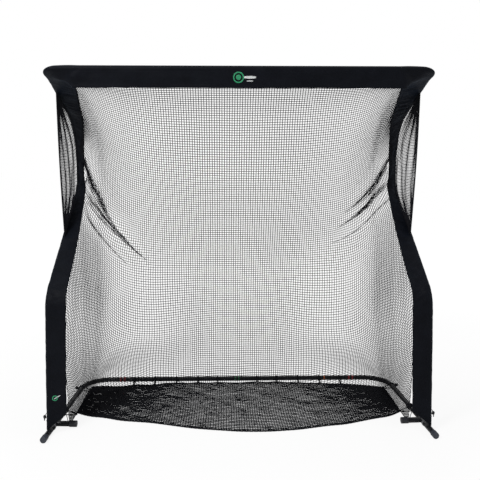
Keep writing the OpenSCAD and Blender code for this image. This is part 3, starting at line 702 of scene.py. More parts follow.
def sleeve(node, tube, edge, tube_r, edge_r, wrinkle, hem_rows, side=1, reshape=None):
    """Cloth and stitching of one sleeve, in place of the node. Returns the cloth's points.

    wrinkle(length, portion, mark, index) is the outward push over one section; portion runs
    from 0 at the tube to 1 at the edge.
    """
    build, skin, normals = sleeve_skin(tube, edge, tube_r, edge_r, wrinkle, side, reshape)
    build.put(node + "_cloth", CLOTH, "sleeve_cloth", node)
    thread = Build()
    for face in (OUT_FACE, BACK_FACE):
        for k in (face + 1, face + FACE_POINTS - 2):
            stitches(thread, skin[2:-2, k], normals[2:-2, k])
    for row in hem_rows:
        loop, up = (np.concatenate([a[row], a[row][:1]]) for a in (skin, normals))
        stitches(thread, loop, up, pitch=0.006, length=0.004)
    thread.put(node + "_stitching", THREAD, "sleeve_cloth")
    return skin


# ---------------------------------------------------------------- side sleeves
def side_wrinkle(seed):
    def near(length, centre, width):
        return np.exp(-((length - centre) / width) ** 2)

    def push(length, portion, mark, index):
        bell = np.sin(np.clip(portion, 0, 1) * math.pi) ** 0.7 * np.abs(mark)
        bends = (near(length, RAIL_AT["knee"] + 0.08, 0.16) + near(length, RAIL_AT["waist"], 0.20)
                 + 0.6 * near(length, RAIL_AT["arm"], 0.25))
        face = np.where(mark >= 0, 3, 11)  # sets the two faces' creases apart
        broad = noise2(length / 0.034 + 0.8 * portion, portion * 1.6 + face, seed)
        fine = noise2(length / 0.016 + 1.6 * portion, portion * 2.5 + face + 5, seed + 1)
        slow = noise2(length / 0.16, portion * 1.5 + face + 9, seed + 2)
        size = 0.0022 + 0.0046 * bends + 0.0022 * near(length, 0.06, 0.12)
        by_tube = np.where(np.abs(portion) < 0.25,
                           0.0007 * noise2(length / 0.02, index * 0.35, seed + 4), 0)
        return bell * (size * broad + 0.45 * size * fine + 0.0024 * slow) + by_tube + 0.0007
    return push


def side_sleeve(side, node, seed):
    ripple = 0.0022 * noise2(RAIL_LENGTH / 0.07, 0.5, seed + 9)
    edge = HEMMED_EDGE + unit(BAND_EDGE - TUBE_LINE) * ripple[:, None]
    keep = RAIL_LENGTH <= RAIL_LENGTH[-1] - 0.02
    length = RAIL_LENGTH[keep]
    tube_r = (0.0195 + 0.0025 * np.exp(-(length / 0.08) ** 2)
              + 0.0008 * noise2(length / 0.05, 3.3, seed))
    return sleeve(node, TUBE_LINE[keep], edge[keep], tube_r, edge_r=0.0042,
                  wrinkle=side_wrinkle(seed), hem_rows=(1, 2), side=side)


side_sleeve(1, "side_sleeve_right", seed=40)
LEFT_CLOTH = side_sleeve(-1, "side_sleeve_left", seed=70)

# ---------------------------------------------------------------- top sleeve with both corners
FLAP_DROP = 0.111       # lower edge of the flap below the bar's axis
FLAP_RUN = 0.130        # evenly stepped start of the bar beyond the corner
CORNER_STEPS, RUN_STEPS = 16, 12


def top_rails():
    """Right half of the rails, from the arm below the corner to the middle of the bar.

    Also returns the range of points between the arm and the plain flap.
    """
    keep = RAIL_LENGTH >= RAIL_LENGTH[-1] - 0.10
    tube_arm, edge_arm = TUBE_LINE[keep], BAND_EDGE[keep]
    up_arm = np.array([0, -math.cos(ARM_TILT), math.sin(ARM_TILT)])
    turn = np.arange(1, CORNER_STEPS + 1)[:, None] / CORNER_STEPS * math.pi / 2
    corner = tube_arm[-1] + CORNER_R * (
        (np.cos(turn) - 1) * np.array([1.0, 0, 0]) + np.sin(turn) * up_arm)
    run_x = POST_X - CORNER_R - FLAP_RUN * np.arange(1, RUN_STEPS + 1) / RUN_STEPS
    flap_x = np.linspace(POST_X - CORNER_R - FLAP_RUN, 0, 118)[1:]

    def level(x, y, z):
        return np.stack([x, np.full(len(x), y), np.full(len(x), z)], 1)

    tube = np.concatenate([tube_arm, corner,
                           level(np.concatenate([run_x, flap_x]), LEG_Y, BAR_Z)])
    # the edge swings from the arm's band to the flap in one curve
    steps = CORNER_STEPS + RUN_STEPS
    t = np.arange(1, steps + 1)[:, None] / steps
    control = np.array([POST_X - 0.138, LEG_Y + 0.060, BAR_Z - 0.112])
    flap_start = np.array([POST_X - 0.158, LEG_Y, BAR_Z - FLAP_DROP])
    swing = (1 - t) ** 2 * edge_arm[-1] + 2 * t * (1 - t) * control + t * t * flap_start
    edge = np.concatenate([edge_arm, swing, level(flap_x, LEG_Y + 0.0005, BAR_Z - FLAP_DROP)])
    start, stop = len(tube_arm), len(tube_arm) + steps
    soft = np.stack([blur(column, np.hanning(11)[1:-1]) for column in edge.T], 1)
    edge[start - 5:stop + 6] = soft[start - 5:stop + 6]
    return tube, edge, slice(start, stop)


HALF_TOP_TUBE, HALF_TOP_EDGE, TOP_CORNER = top_rails()
TOP_TUBE = np.concatenate([HALF_TOP_TUBE, mirror(HALF_TOP_TUBE[:-1])[::-1]])
TOP_EDGE = np.concatenate([HALF_TOP_EDGE, mirror(HALF_TOP_EDGE[:-1])[::-1]])
TOP_COUNT = len(TOP_TUBE)
TOP_LENGTH = arc_length(0.5 * (TOP_TUBE + TOP_EDGE))
FROM_END = np.minimum(TOP_LENGTH, TOP_LENGTH[-1] - TOP_LENGTH)


def top_wrinkle(length, portion, mark, index):
    bell = np.sin(np.clip(portion, 0, 1) * math.pi) ** 0.6 * np.abs(mark)
    from_end = min(length, TOP_LENGTH[-1] - length)
    at_corner = math.exp(-((from_end - 0.20) / 0.11) ** 2)
    face = np.where(mark >= 0, 3, 11)
    # long shallow puckers along the bar, and short creases that fan out from each corner
    long = noise2(length / 0.22 + 1.5 * portion, portion * 2.2 + face, 5)
    small = noise2(length / 0.05 + 2.0 * portion, portion * 2.0 + face + 4, 6)
    fan = noise2((from_end - 0.16) / 0.05 + 2.2 * portion, face, 8)
    swell = 0.0012 * np.sin(length * 2 * math.pi / 0.61 + 1.0)
    return bell * (0.0044 * long + 0.0022 * small + 0.0075 * at_corner * fan + swell) + 0.0007


def corner_point(skin, tube):
    """Draws the outer side of each corner out into a point, forward and a little low."""
    out = skin - tube[:, None]
    n = len(tube)
    sign = np.where(np.arange(n) < n / 2, 1.0, -1.0)
    draw = unit(np.stack([sign * 0.80, np.full(n, -0.58), np.full(n, -0.10)], 1))
    lean = np.clip((unit(out) * draw[:, None]).sum(-1), 0, 1) ** 1.6
    lean = lean * np.exp(-(np.linalg.norm(out, axis=-1) / 0.040) ** 4)
    near = np.exp(-np.abs((FROM_END - 0.145) / 0.055) ** 1.7)
    return skin + draw[:, None] * (0.026 * near[:, None] * lean)[..., None]


waved_edge = TOP_EDGE.copy()
waved_edge[:, 2] += (0.0022 * noise2(TOP_LENGTH / 0.19, 1.7, 15)
                     + 0.0009 * noise2(TOP_LENGTH / 0.05, 1.7, 16))
TOP_CLOTH = sleeve("top_sleeve", TOP_TUBE, waved_edge,
                   0.0203 + 0.002 * np.exp(-((FROM_END - 0.150) / 0.060) ** 2), edge_r=0.0045,
                   wrinkle=top_wrinkle, hem_rows=(2, TOP_COUNT - 3), reshape=corner_point)


# ---------------------------------------------------------------- printed badges
def front_projector(cloth, first_row, end_row):
    """Function that lays points (x, z) on the front (-Y) face of these rows of a sleeve."""
    middle, centre = (first_row + end_row) // 2, FACE_POINTS // 2
    out_y, back_y = cloth[middle, OUT_FACE + centre, 1], cloth[middle, BACK_FACE + centre, 1]
    face = OUT_FACE if out_y < back_y else BACK_FACE
    source = cloth[first_row:end_row, face:face + FACE_POINTS].reshape(-1, 3)

    def project(xz):
        points = []
        for x, z in xz:
            square = (source[:, 0] - x) ** 2 + (source[:, 2] - z) ** 2
            near = np.argsort(square)[:6]
            weight = 1 / (square[near] + 1e-7)
            points.append([x, float((source[near, 1] * weight).sum() / weight.sum()), z])
        return np.array(points)
    return project


def decal(name, material, shapes, project, *replaced):
    """Thin printed shapes. Each is an outer and an inner loop of equal length in (x, z)."""
    rings, lift, sink = 4, 0.0009, 0.0002
    build = Build()
    for outer, inner in shapes:
        loops = [outer * (1 - j / rings) + inner * (j / rings) for j in range(rings + 1)]
        laid = project(np.concatenate(loops))
        build.add(np.concatenate([laid - [0, lift, 0], laid + [0, sink, 0]]),
                  shell_faces(rings + 1, len(outer)))
    build.put(name, material, "badge", *replaced)


def ring(x, z, outer_r, inner_r, n=56):
    angle = circle(n)
    spoke = np.stack([np.cos(angle), np.sin(angle)], 1)
    return np.array([x, z]) + outer_r * spoke, np.array([x, z]) + inner_r * spoke


def pill(x, z, length, height, tilt=0.0, n=40):
    """A filled bar with rounded ends."""
    angle = circle(n)
    cos = np.cos(angle)
    along = (np.clip(cos * (length / 2 + height / 2), -length / 2, length / 2)
             + 0.5 * height * cos * (np.abs(cos) > 0.5))
    up = 0.5 * height * np.sin(angle)
    c, s = math.cos(tilt), math.sin(tilt)
    offset = np.stack([along * c - up * s, along * s + up * c], 1)
    centre = np.array([x, z])
    return centre + offset, centre + offset * 0.02


BADGE_Z = BAR_Z - 0.052
on_top = front_projector(TOP_CLOTH, TOP_COUNT // 2 - 40, TOP_COUNT // 2 + 40)
decal("badge_top_ring", PRINT_GREEN,
      [ring(-0.012, BADGE_Z, 0.034, 0.026), ring(-0.012, BADGE_Z, 0.016, 0.0004)],
      on_top, "badge_top")
decal("badge_top_bar", PRINT_WHITE,
      [pill(0.058, BADGE_Z, 0.060, 0.016), pill(0.058, BADGE_Z - 0.022, 0.034, 0.006)], on_top)
on_leg = front_projector(LEFT_CLOTH, 10, 60)
decal("badge_side_ring", PRINT_GREEN, [ring(-1.150, 0.232, 0.017, 0.011, n=40)],
      on_leg, "badge_side")
decal("badge_side_bar", PRINT_WHITE, [pill(-1.136, 0.238, 0.036, 0.006, tilt=0.5)], on_leg)

# ---------------------------------------------------------------- outlines on the floor
OUTLINE_Y = -0.3495     # the measured outlines give y from this line
# (x, y) in millimetres, from left to right: the front rope, and the seam behind it
ROPE_MM = [
    (-1092, 272), (-992, 208), (-890, 189), (-783, 138), (-683, 119), (-583, 101), (-483, 68),
    (-385, 34), (-287, 2), (-192, -16), (-97, -33), (-3, -50), (92, -54), (185, -54),
    (281, -42), (377, -29), (476, -1), (576, 27), (675, 41), (781, 85), (890, 131),
    (997, 162), (1092, 244)]
SEAM_MM = [
    (-1084, 763), (-1020, 770), (-957, 760), (-900, 752), (-838, 758), (-780, 786),
    (-738, 790), (-680, 779), (-625, 784), (-540, 812), (-463, 826), (-380, 806), (-300, 826),
    (-220, 807), (-150, 826), (0, 804), (150, 826), (225, 806), (300, 824), (380, 800),
    (463, 808), (545, 786), (625, 790), (700, 770), (780, 772), (930, 738), (1075, 700)]
ROPE = np.array(ROPE_MM, float) / 1000 + [0, OUTLINE_Y]
SEAM = np.array(SEAM_MM, float) / 1000 + [0, OUTLINE_Y]
NET_FLOOR_Z = 0.0048    # bottom row of the main net
PERIMETER_Z = 0.0052    # axis of the perimeter cord
SIDE_CORD_X = 1.088
# where the main net's lower edge meets the side cord, on the right
SIDE_CORD_FRONT = (SIDE_CORD_X + 0.004, LEG_Y + 0.105)


def seam_y(x):
    return np.interp(x, *SEAM.T)


def rope_y(x):
    return np.interp(x, *ROPE.T)


def bottom_curve(side, n):
    """Bottom row of the main net, from the middle of the seam to the side cord's front end."""
    along = np.linspace(0, 0.90, 50) * side
    y = float(seam_y(side * 0.90))
    bend = chaikin([(0.90, y), (0.99, y - 0.012), (1.045, y - 0.085), (1.074, y - 0.22),
                    (SIDE_CORD_X, 0.02), (SIDE_CORD_X + 0.001, LEG_Y + 0.26),
                    SIDE_CORD_FRONT])[1:]
    points = np.concatenate([np.stack([along, seam_y(along)], 1), bend * [side, 1]])
    return resample(np.column_stack([points, np.full(len(points), NET_FLOOR_Z)]), n=n)


# ---------------------------------------------------------------- main net: the sheet
MESH_W, MESH_H = 0.0163, 0.0176
MIDDLE_SCALE = 1.008
# (y, z) down the middle of the net between the flap and the seam, before the scale
MIDDLE_INNER = np.array([
    (0.09, 1.997), (0.165, 1.846), (0.235, 1.688), (0.315, 1.521), (0.41, 1.345),
    (0.51, 1.161), (0.60, 0.985), (0.665, 0.809), (0.715, 0.636), (0.755, 0.454),
    (0.79, 0.264), (0.812, 0.12)]) * MIDDLE_SCALE + [OUTLINE_Y, 0]
MIDDLE_CURVE = chaikin([(LEG_Y + 0.001, BAR_Z - 0.108), *MIDDLE_INNER,
                        (float(seam_y(0.0)), NET_FLOOR_Z)])
ROWS = int(round(arc_length(resample(MIDDLE_CURVE, n=400))[-1] / MESH_H)) + 1
MIDDLE = resample(MIDDLE_CURVE, n=ROWS)
HALF_POINTS = 260       # points across each half of the dense sheet
LOW_ROWS = 4            # rows below the side sleeve
WAIST_ROW = 57


def edge_line(side):
    """Where each row meets the side sleeve or, at the bottom, the side cord."""
    keep = RAIL_LENGTH >= 0.050
    tube, band = TUBE_LINE[keep][::-1], HEMMED_EDGE[keep][::-1]
    corner_tube, corner = HALF_TOP_TUBE[TOP_CORNER][::-1], HALF_TOP_EDGE[TOP_CORNER][::-1]
    corner = corner + unit(corner_tube - corner) * 0.006
    path = np.concatenate([corner[corner[:, 0] > POST_X - 0.19],
                           band + unit(tube - band) * 0.008])
    length = arc_length(path)
    at = np.interp(np.arange(ROWS - LOW_ROWS), [0, WAIST_ROW, ROWS - 1 - LOW_ROWS],
                   [0, WAIST_ROW * MESH_H * 1.02, length[-1]])
    at = blur(at, np.hanning(19), mode="reflect", reflect_type="odd")
    edge = sample(path, length, at)
    edge[-1] = path[-1]
    t = np.linspace(0, 1, LOW_ROWS + 1)[1:, None]
    low = (edge[-1] * (1 - t) + np.array([*SIDE_CORD_FRONT, NET_FLOOR_Z]) * t
           + np.array([[0, 0.006, 0.0]]) * np.sin(math.pi * t))
    return np.concatenate([edge, low]) * np.array([side, 1, 1])


def half_net(side):
    """Dense rows of the sheet on one side, from the middle to the edge."""
    across = np.linspace(0, 1, HALF_POINTS)
    edge = edge_line(side)
    down = np.arange(ROWS) / (ROWS - 1)
    # powers that hold a row near the middle's curve before it turns to the edge
    y_power = np.interp(down, [0, 0.15, 0.3, 0.45, 0.56, 0.68, 0.82, 1.0],
                        [3.0, 4.4, 6.2, 6.8, 4.4, 2.7, 2.4, 3.0])
    z_power = np.interp(down, [0, 0.3, 0.5, 0.7, 1.0], [2.2, 2.6, 3.0, 3.0, 4.0])
    turn_y = across ** y_power[:, None]
    turn_z = across ** z_power[:, None]
    rows = np.stack([edge[:, None, 0] * across,
                     MIDDLE[:, None, 0] * (1 - turn_y) + edge[:, None, 1] * turn_y,
                     MIDDLE[:, None, 1] * (1 - turn_z) + edge[:, None, 2] * turn_z], -1)
    rows = np.array([resample(row, n=HALF_POINTS) for row in rows])
    # the lowest rows take on the outline of the bottom row
    blend = (smooth(ROWS - 26, ROWS - 1, np.arange(ROWS)) ** 1.3)[:, None, None]
    height = np.maximum(MIDDLE[:, 1] - NET_FLOOR_Z, 0)[:, None, None]
    upright = bottom_curve(side, HALF_POINTS)[None] + height * np.array([0, 0, 1.0])
    return rows * (1 - blend) + upright * blend


def relax(sheet, times):
    """Evens out the inside of the sheet, as a slack net settles."""
    for _ in range(times):
        mean = (sheet[:-2, 1:-1] + sheet[2:, 1:-1] + sheet[1:-1, :-2] + sheet[1:-1, 2:]) / 4
        sheet[1:-1, 1:-1] += 0.5 * (mean - sheet[1:-1, 1:-1])
    return sheet


def slack_sheet():
    """The whole dense sheet with slack waves that run down it and a faint cross sag."""
    sheet = relax(np.concatenate([half_net(-1)[:, ::-1], half_net(1)[:, 1:]], 1), times=40)
    row = np.arange(ROWS)[:, None]
    free = smooth(0, 18, row) * smooth(0, 12, ROWS - 1 - row)
    x = sheet[..., 0]
    sheet[..., 1] += free * (0.010 * noise2(x / 0.26, row / 42.0, 21)
                             + 0.0035 * noise2(x / 0.07 + row / 60.0, row / 20.0, 22))
    sheet[..., 2] += free * 0.0035 * noise2(x / 0.18, row / 16.0, 23)
    return sheet


# ---------------------------------------------------------------- main net: folds at the waist
# For each side: a line in (|x|, z) that starts at the sleeve, the fold's half width, its pull
# on the net towards the line, its push in y, and a gain on the pull.
FOLDS = {
    -1: [
        ([(1.138, 1.702), (1.080, 1.564), (1.013, 1.441), (0.941, 1.308), (0.87, 1.205),
          (0.79, 1.115)], 0.052, 0.0345, 0.040, 1.0),
        ([(1.100, 1.436), (1.029, 1.352), (0.947, 1.260), (0.858, 1.174), (0.735, 1.050),
          (0.60, 0.93)], 0.032, 0.0215, -0.026, 1.0),
        ([(1.088, 1.330), (1.040, 1.250), (0.981, 1.174), (0.902, 1.078), (0.804, 0.974),
          (0.70, 0.88)], 0.014, 0.0070, 0.010, 0.9)],
    1: [
        ([(1.139, 1.702), (1.059, 1.617), (0.972, 1.500), (0.874, 1.408), (0.74, 1.31)],
         0.050, 0.0310, 0.038, 1.0),
        ([(1.097, 1.505), (1.007, 1.451), (0.918, 1.350), (0.813, 1.280), (0.68, 1.19)],
         0.030, 0.0195, -0.024, 1.0),
        ([(1.103, 1.401), (1.006, 1.328), (0.899, 1.217), (0.765, 1.130), (0.664, 1.094),
          (0.56, 1.05)], 0.014, 0.0065, 0.010, 0.9)]}
FOLD_POINTS = 160


def fold_curve(line, n):
    """Rounded fold line with its tangents and normals."""
    curve = resample(chaikin(line), n=n)
    tangent = unit(np.gradient(curve, axis=0))
    return curve, tangent, square_left(tangent)


def apply_folds(points, side):
    flat = np.stack([np.abs(points[..., 0]).ravel(), points[..., 2].ravel()], 1)
    shift = np.zeros((len(flat), 3))
    for line, width, pull, push, gain in FOLDS[side]:
        curve, tangent, normal = fold_curve(line, FOLD_POINTS)
        # nearest of every second point on the curve
        near = 2 * ((flat[:, None] - curve[None, ::2]) ** 2).sum(-1).argmin(1)
        offset = flat - curve[near]
        off = (offset * normal[near]).sum(1)
        beyond = (offset * tangent[near]).sum(1)
        portion = near / (FOLD_POINTS - 1)
        fade = ((1 - portion) ** 0.8
                * (1 - smooth(0.0, 0.05, np.abs(beyond)) * (near >= FOLD_POINTS - 4))
                * (1 - smooth(0.06, 0.16, -beyond) * (near == 0)))
        narrowing = 1 - 0.45 * portion
        g = off / (width * narrowing)
        draw = -pull * gain * fade * g * np.exp(0.5 - 0.5 * g * g) * narrowing
        shift[:, [0, 2]] += draw[:, None] * normal[near]
        ripple = np.cos(g * 5.5) * np.exp(-0.8 * g * g)
        shift[:, 1] += push * 0.55 * fade * (np.exp(-0.5 * g * g) + 0.45 * ripple)
    shift[:, 0] *= np.sign(points[..., 0]).ravel()
    return points + shift.reshape(points.shape)


# ---------------------------------------------------------------- main net: the knots
FAN = 0.13              # spread of the columns towards the feet


def read_columns(half):
    """Columns at even steps along each row from the middle out; the mask ends each row."""
    lengths = [arc_length(row) for row in half]
    n = int(max(length[-1] for length in lengths) / MESH_W) + 2
    grid = np.zeros((ROWS, n, 3))
    mask = np.zeros((ROWS, n), bool)
    for r, (row, length) in enumerate(zip(half, lengths)):
        at = np.arange(n) * MESH_W
        z = np.interp(at, length, row[:, 2])
        # below the waist the columns fan out towards the feet
        at = at + FAN * smooth(0.35, 1.0, at) * (1 - smooth(0.35, 1.30, z))
        inside = int((at <= length[-1] - 0.35 * MESH_W).sum())
        grid[r] = sample(row, length, np.minimum(at, length[-1]))
        mask[r, :inside + 1] = True
    return grid, mask


def lengths_down(grid, mask, centre):
    """Smoothed length down each column; centre is the middle column of both sides."""
    step = np.linalg.norm(np.diff(grid, axis=0), axis=-1)
    inside = mask[:-1] & mask[1:]
    for c in range(1, step.shape[1]):
        step[:, c] = np.where(inside[:, c], step[:, c], step[:, c - 1])
    step = np.stack([blur(row, np.hanning(9)) for row in step])
    step[:, 0] = np.linalg.norm(np.diff(centre, axis=0), axis=-1)
    return np.concatenate([np.zeros((1, step.shape[1])), np.cumsum(step, 0)])


def even_rows(grid, mask, down, n, side):
    """Rows of knots at even steps down the sheet, which is longer towards the sleeves."""
    rows, columns = mask.shape
    knots = np.zeros((n, columns, 3))
    present = np.zeros((n, columns), bool)
    held = np.zeros((n, columns), bool)     # knots that the folds leave in place
    at = np.arange(n) * MESH_H
    for c in range(columns):
        if mask[:, c].sum() < 2:
            continue
        r = np.clip(np.searchsorted(down[:, c], at, side="right") - 1, 0, rows - 2)
        t = (at - down[r, c]) / np.maximum(down[r + 1, c] - down[r, c], 1e-9)
        knots[:, c] = grid[r, c] * (1 - t)[:, None] + grid[r + 1, c] * t[:, None]
        present[:, c] = mask[r, c] & mask[r + 1, c] & (t <= 1.0)
        if mask[-1, c]:
            end = int(math.ceil(down[-1, c] / MESH_H))
            if 0 < end < n and not present[end, c]:
                knots[end, c] = grid[-1, c]
                present[end, c] = held[end, c] = True
    # close each row with a knot on the sheet's edge
    row, last = np.arange(rows), mask.sum(1) - 1
    edge_down = np.maximum.accumulate(down[row, last])
    edge = grid[row, last]
    for k in range(1, n):
        filled = np.nonzero(present[k])[0]
        if not len(filled) or at[k] > edge_down[-1]:
            continue
        c = filled.max()
        point = sample(edge, edge_down, at[k:k + 1])[0]
        gap = np.linalg.norm(point - knots[k, c])
        if c + 1 < columns and 0.25 * MESH_W < gap < 2.6 * MESH_W:
            knots[k, c + 1] = point
            present[k, c + 1] = held[k, c + 1] = True
    held[0] = True
    folded = apply_folds(knots, side)
    return np.where((present & ~held)[..., None], folded, knots), present


def main_net_knots():
    """Knots and mask of each side's half, keyed -1 for the left and 1 for the right."""
    sheet = slack_sheet()
    middle = HALF_POINTS - 1
    read = {-1: read_columns(sheet[:, middle::-1]), 1: read_columns(sheet[:, middle:])}
    centre = read[1][0][:, 0]
    down = {side: lengths_down(*read[side], centre) for side in read}
    n = max(int(down[side][read[side][1]].max() / MESH_H) + 3 for side in read)
    return {side: even_rows(*read[side], down[side], n, side) for side in read}


KNOTS = main_net_knots()


# ---------------------------------------------------------------- main net: yarn
def strands(build, grid, mask, radius, knot, jitter, seed=1, skip_first=False):
    """Three-sided yarn along the rows and columns of a grid, with a small knot at each point.

    skip_first leaves out the yarn and knots of the first column.
    """
    rows, columns = mask.shape
    ij = np.indices((rows, columns))
    grid = grid + jitter * np.stack(
        [noise2(ij[0] * 1.37, ij[1] * 1.91, seed + k) for k in range(3)], -1)
    directions = [unit(np.gradient(grid, axis=axis)) for axis in (0, 1)]
    normal = unit(np.cross(*directions))
    angle = np.array([math.pi / 2, math.pi * 7 / 6, math.pi * 11 / 6])[:, None]
    down = mask[:-1] & mask[1:]
    if skip_first:
        down[:, 0] = False
    across = mask[:, :-1] & mask[:, 1:]
    for axis, joined, step, pitch in ((0, down, columns, MESH_H), (1, across, 1, MESH_W)):
        flank = unit(np.cross(directions[axis], normal))
        verts = grid[:, :, None] + radius * (
            np.cos(angle) * flank[:, :, None] + np.sin(angle) * normal[:, :, None])
        i, j = np.nonzero(joined)
        here = (i * columns + j) * 3
        there = here + 3 * step
        faces = []
        for k in range(3):
            a, b = (k, (k + 1) % 3) if axis == 0 else ((k + 1) % 3, k)
            faces.append(np.stack([here + a, here + b, there + b, there + a], 1))
        shape = (rows, columns, 3)
        uv = np.stack([np.broadcast_to(np.array([0, 1 / 3, 2 / 3]), shape),
                       np.broadcast_to((ij[axis] * pitch)[..., None], shape)], -1)
        build.add(verts, faces, uv)
    i, j = np.nonzero(mask)
    if skip_first:
        i, j = i[j > 0], j[j > 0]
    centre = grid[i, j]
    d, c, n = directions[0][i, j], directions[1][i, j], 0.8 * normal[i, j]
    verts = np.stack([centre + knot * spoke for spoke in (d, c, -d, -c, n, -n)], 1)
    base = (np.arange(len(centre)) * 6)[:, None, None]
    octahedron = np.array([[0, 1, 4], [1, 2, 4], [2, 3, 4], [3, 0, 4],
                           [1, 0, 5], [2, 1, 5], [3, 2, 5], [0, 3, 5]])
    build.add(verts, [(octahedron[None] + base).reshape(-1, 3)])


YARN_R, KNOT_R = 0.00208, 0.0031
CENTRE_COLUMNS = 30     # columns on each side of the middle in the centre piece


def yarn_radius(grid):
    """Thicker yarn in the middle, thinner beside the arms."""
    x, z = np.abs(grid[..., 0]), grid[..., 2]
    scale = (1 + 0.16 * (1 - smooth(0.25, 0.85, x))
             - 0.24 * smooth(0.66, 1.02, x) * smooth(1.40, 1.70, z))
    return (YARN_R * scale)[..., None, None]


def main_net_piece(name, grid, mask, knot, *replaced, skip_first=False):
    build = Build()
    strands(build, grid, mask, yarn_radius(grid), knot, jitter=0.0005, skip_first=skip_first)
    build.put(name, NET, "net_mesh", *replaced)


centre_grid, centre_mask = (
    np.concatenate([left[:, CENTRE_COLUMNS:0:-1], right[:, :CENTRE_COLUMNS + 1]], 1)
    for left, right in zip(KNOTS[-1], KNOTS[1]))
main_net_piece("main_net_centre", centre_grid, centre_mask, KNOT_R, "main_net")
for side, name in ((-1, "left"), (1, "right")):
    grid, mask = (part[:, CENTRE_COLUMNS:] for part in KNOTS[side])
    main_net_piece("main_net_" + name, grid, mask, KNOT_R * 0.94, skip_first=True)


# ---------------------------------------------------------------- yarns and cords on the net
def on_sheet(source, xz):
    """Points (x, z) laid on the net by the weighted y of its nearest knots."""
    points = []
    for x, z in xz:
        square = (source[:, 0] - x) ** 2 + (source[:, 2] - z) ** 2
        near = np.argpartition(square, 8)[:8]
        weight = 1 / (square[near] + 2e-5)
        points.append([x, float((source[near, 1] * weight).sum() / weight.sum()), z])
    return np.array(points)


def fold_cord(build, source, curve, portion, side):
    """Thin tapered cord along the lowest fold, just in front of the net."""
    path = on_sheet(source, curve[portion < 0.80] * np.array([side, 1]))
    path[:, 1] = blur(path[:, 1] - 0.003, np.ones(9))
    path = resample(path, step=0.006)
    radius = np.interp(np.linspace(0, 1, len(path)), [0, 0.75, 1], [0.0019, 0.0017, 0.0011])
    sweep(build, path, radius, n=7)


def fold_yarns(build, source, curve, normal, portion, fold, side):
    """Gathered yarns that lie in one of the upper folds and close up along it."""
    count, spread = ((11, 0.036), (8, 0.021))[fold]
    for g in range(count):
        lane = (g + 0.5) / count * 2 - 1
        end = 0.97 - 0.42 * abs(lane) - 0.1 * ((g * 7) % 5) / 4
        start = 0.02 * ((g * 5) % 4)
        keep = (portion >= start) & (portion <= end)
        wander = lane + 0.20 * noise2(portion * 5, g * 3.1, 50 + fold + side)
        offset = (spread * (1 - 0.72 * portion) + 0.003) * wander
        path = on_sheet(source, (curve + normal * offset[:, None])[keep] * np.array([side, 1]))
        path[:, 1] = (blur(path[:, 1], np.ones(7))
                      + 0.003 * noise2(portion[keep] * 8, g * 1.7, 60 + fold))
        sweep(build, resample(path, step=0.009), 0.0015, n=4)


gathers, fold_cords = Build(), Build()
for side, (grid, mask) in KNOTS.items():
    for fold, (line, *_) in enumerate(FOLDS[side]):
        curve, _, normal = fold_curve(line, 80)
        portion = np.linspace(0, 1, 80)
        if fold == 2:
            fold_cord(fold_cords, grid[mask], curve, portion, side)
        else:
            fold_yarns(gathers, grid[mask], curve, normal, portion, fold, side)
gathers.put("main_net_gathers", NET, "net_mesh")
fold_cords.put("main_net_seam_cords", CORD, "cord")

for side, name in ((-1, "left"), (1, "right")):
    lower_edge = Build()
    sweep(lower_edge, resample(chaikin(edge_line(side)[-12:], 2), step=0.004), 0.0022)
    lower_edge.put("main_net_lower_edge_" + name, CORD, "cord")

# ---------------------------------------------------------------- side nets and their hems
# (y, z) of the hem's ends, on the arm and on the diagonal
HEM_TOP = np.array([LEG_Y + 0.255, BAR_Z - 0.255 * math.tan(ARM_TILT) - 0.040])
HEM_BOTTOM = np.array([LEG_Y + 0.440, KNEE_Z + 0.440 * math.tan(DIAGONAL_TILT) + 0.040])


def hem_points(t):
    """(y, z) along the hem from top to bottom, bowed a little to the front."""
    y = HEM_TOP[0] + (HEM_BOTTOM[0] - HEM_TOP[0]) * t - 0.018 * np.sin(math.pi * t) - 0.004
    z = (HEM_TOP[1] - 0.006) * (1 - t) + (HEM_BOTTOM[1] + 0.004) * t
    return np.stack([y, z], -1)


def side_net(side, name, seed):
    """Net in the plane of the upright, between the hem and the waist."""
    axis = TUBE_LINE[:, 1:]
    border = axis + square_left(unit(np.gradient(axis, axis=0))) * 0.014
    y, z = border.T
    border = border[(z > HEM_BOTTOM[1] - 0.03) & (z < HEM_TOP[1] + 0.03)
                    & ((y > HEM_BOTTOM[0] - 0.02) | (z > 1.6)) & (y > HEM_TOP[0] - 0.02)]
    border = border[np.argsort(border[:, 1])[::-1]]
    rows = int(round((HEM_TOP[1] - HEM_BOTTOM[1]) / 0.0172))
    hem = hem_points(np.linspace(0, 1, rows))
    length = arc_length(border)
    outer = sample(border, length, np.linspace(0.02, 1.0, rows) * length[-1])
    columns = int(round(np.linalg.norm(outer - hem, axis=1).max() / 0.0150))
    across = np.linspace(0, 1, columns) ** 1.25
    down = np.arange(rows)[:, None] / (rows - 1)
    yz = hem[:, None] * (1 - across[None, :, None]) + outer[:, None] * across[None, :, None]
    yz[..., 1] -= 0.030 * np.sin(math.pi * across) * np.sin(math.pi * down) ** 0.5
    middle = np.sin(math.pi * down) ** 0.7
    pleats = 0.004 * np.sin(across * 26 + 1.3 * np.sin(down * 5) + seed) * np.exp(-across * 2.2)
    waves = 0.006 * noise2(across * 7, down * 5, seed)
    belly = -0.010 * np.sin(math.pi * across) * middle
    x = POST_X - 0.001 + (pleats + waves) * middle * np.minimum(1, across * 6) + belly
    build = Build()
    strands(build, np.stack([side * x, yz[..., 0], yz[..., 1]], -1),
            np.ones((rows, columns), bool), 0.00160, 0.0024, jitter=0.0006, seed=seed)
    build.put("side_net_%s_mesh" % name, NET, "net_mesh", "side_net_" + name)


side_net(1, "right", seed=60)
side_net(-1, "left", seed=90)

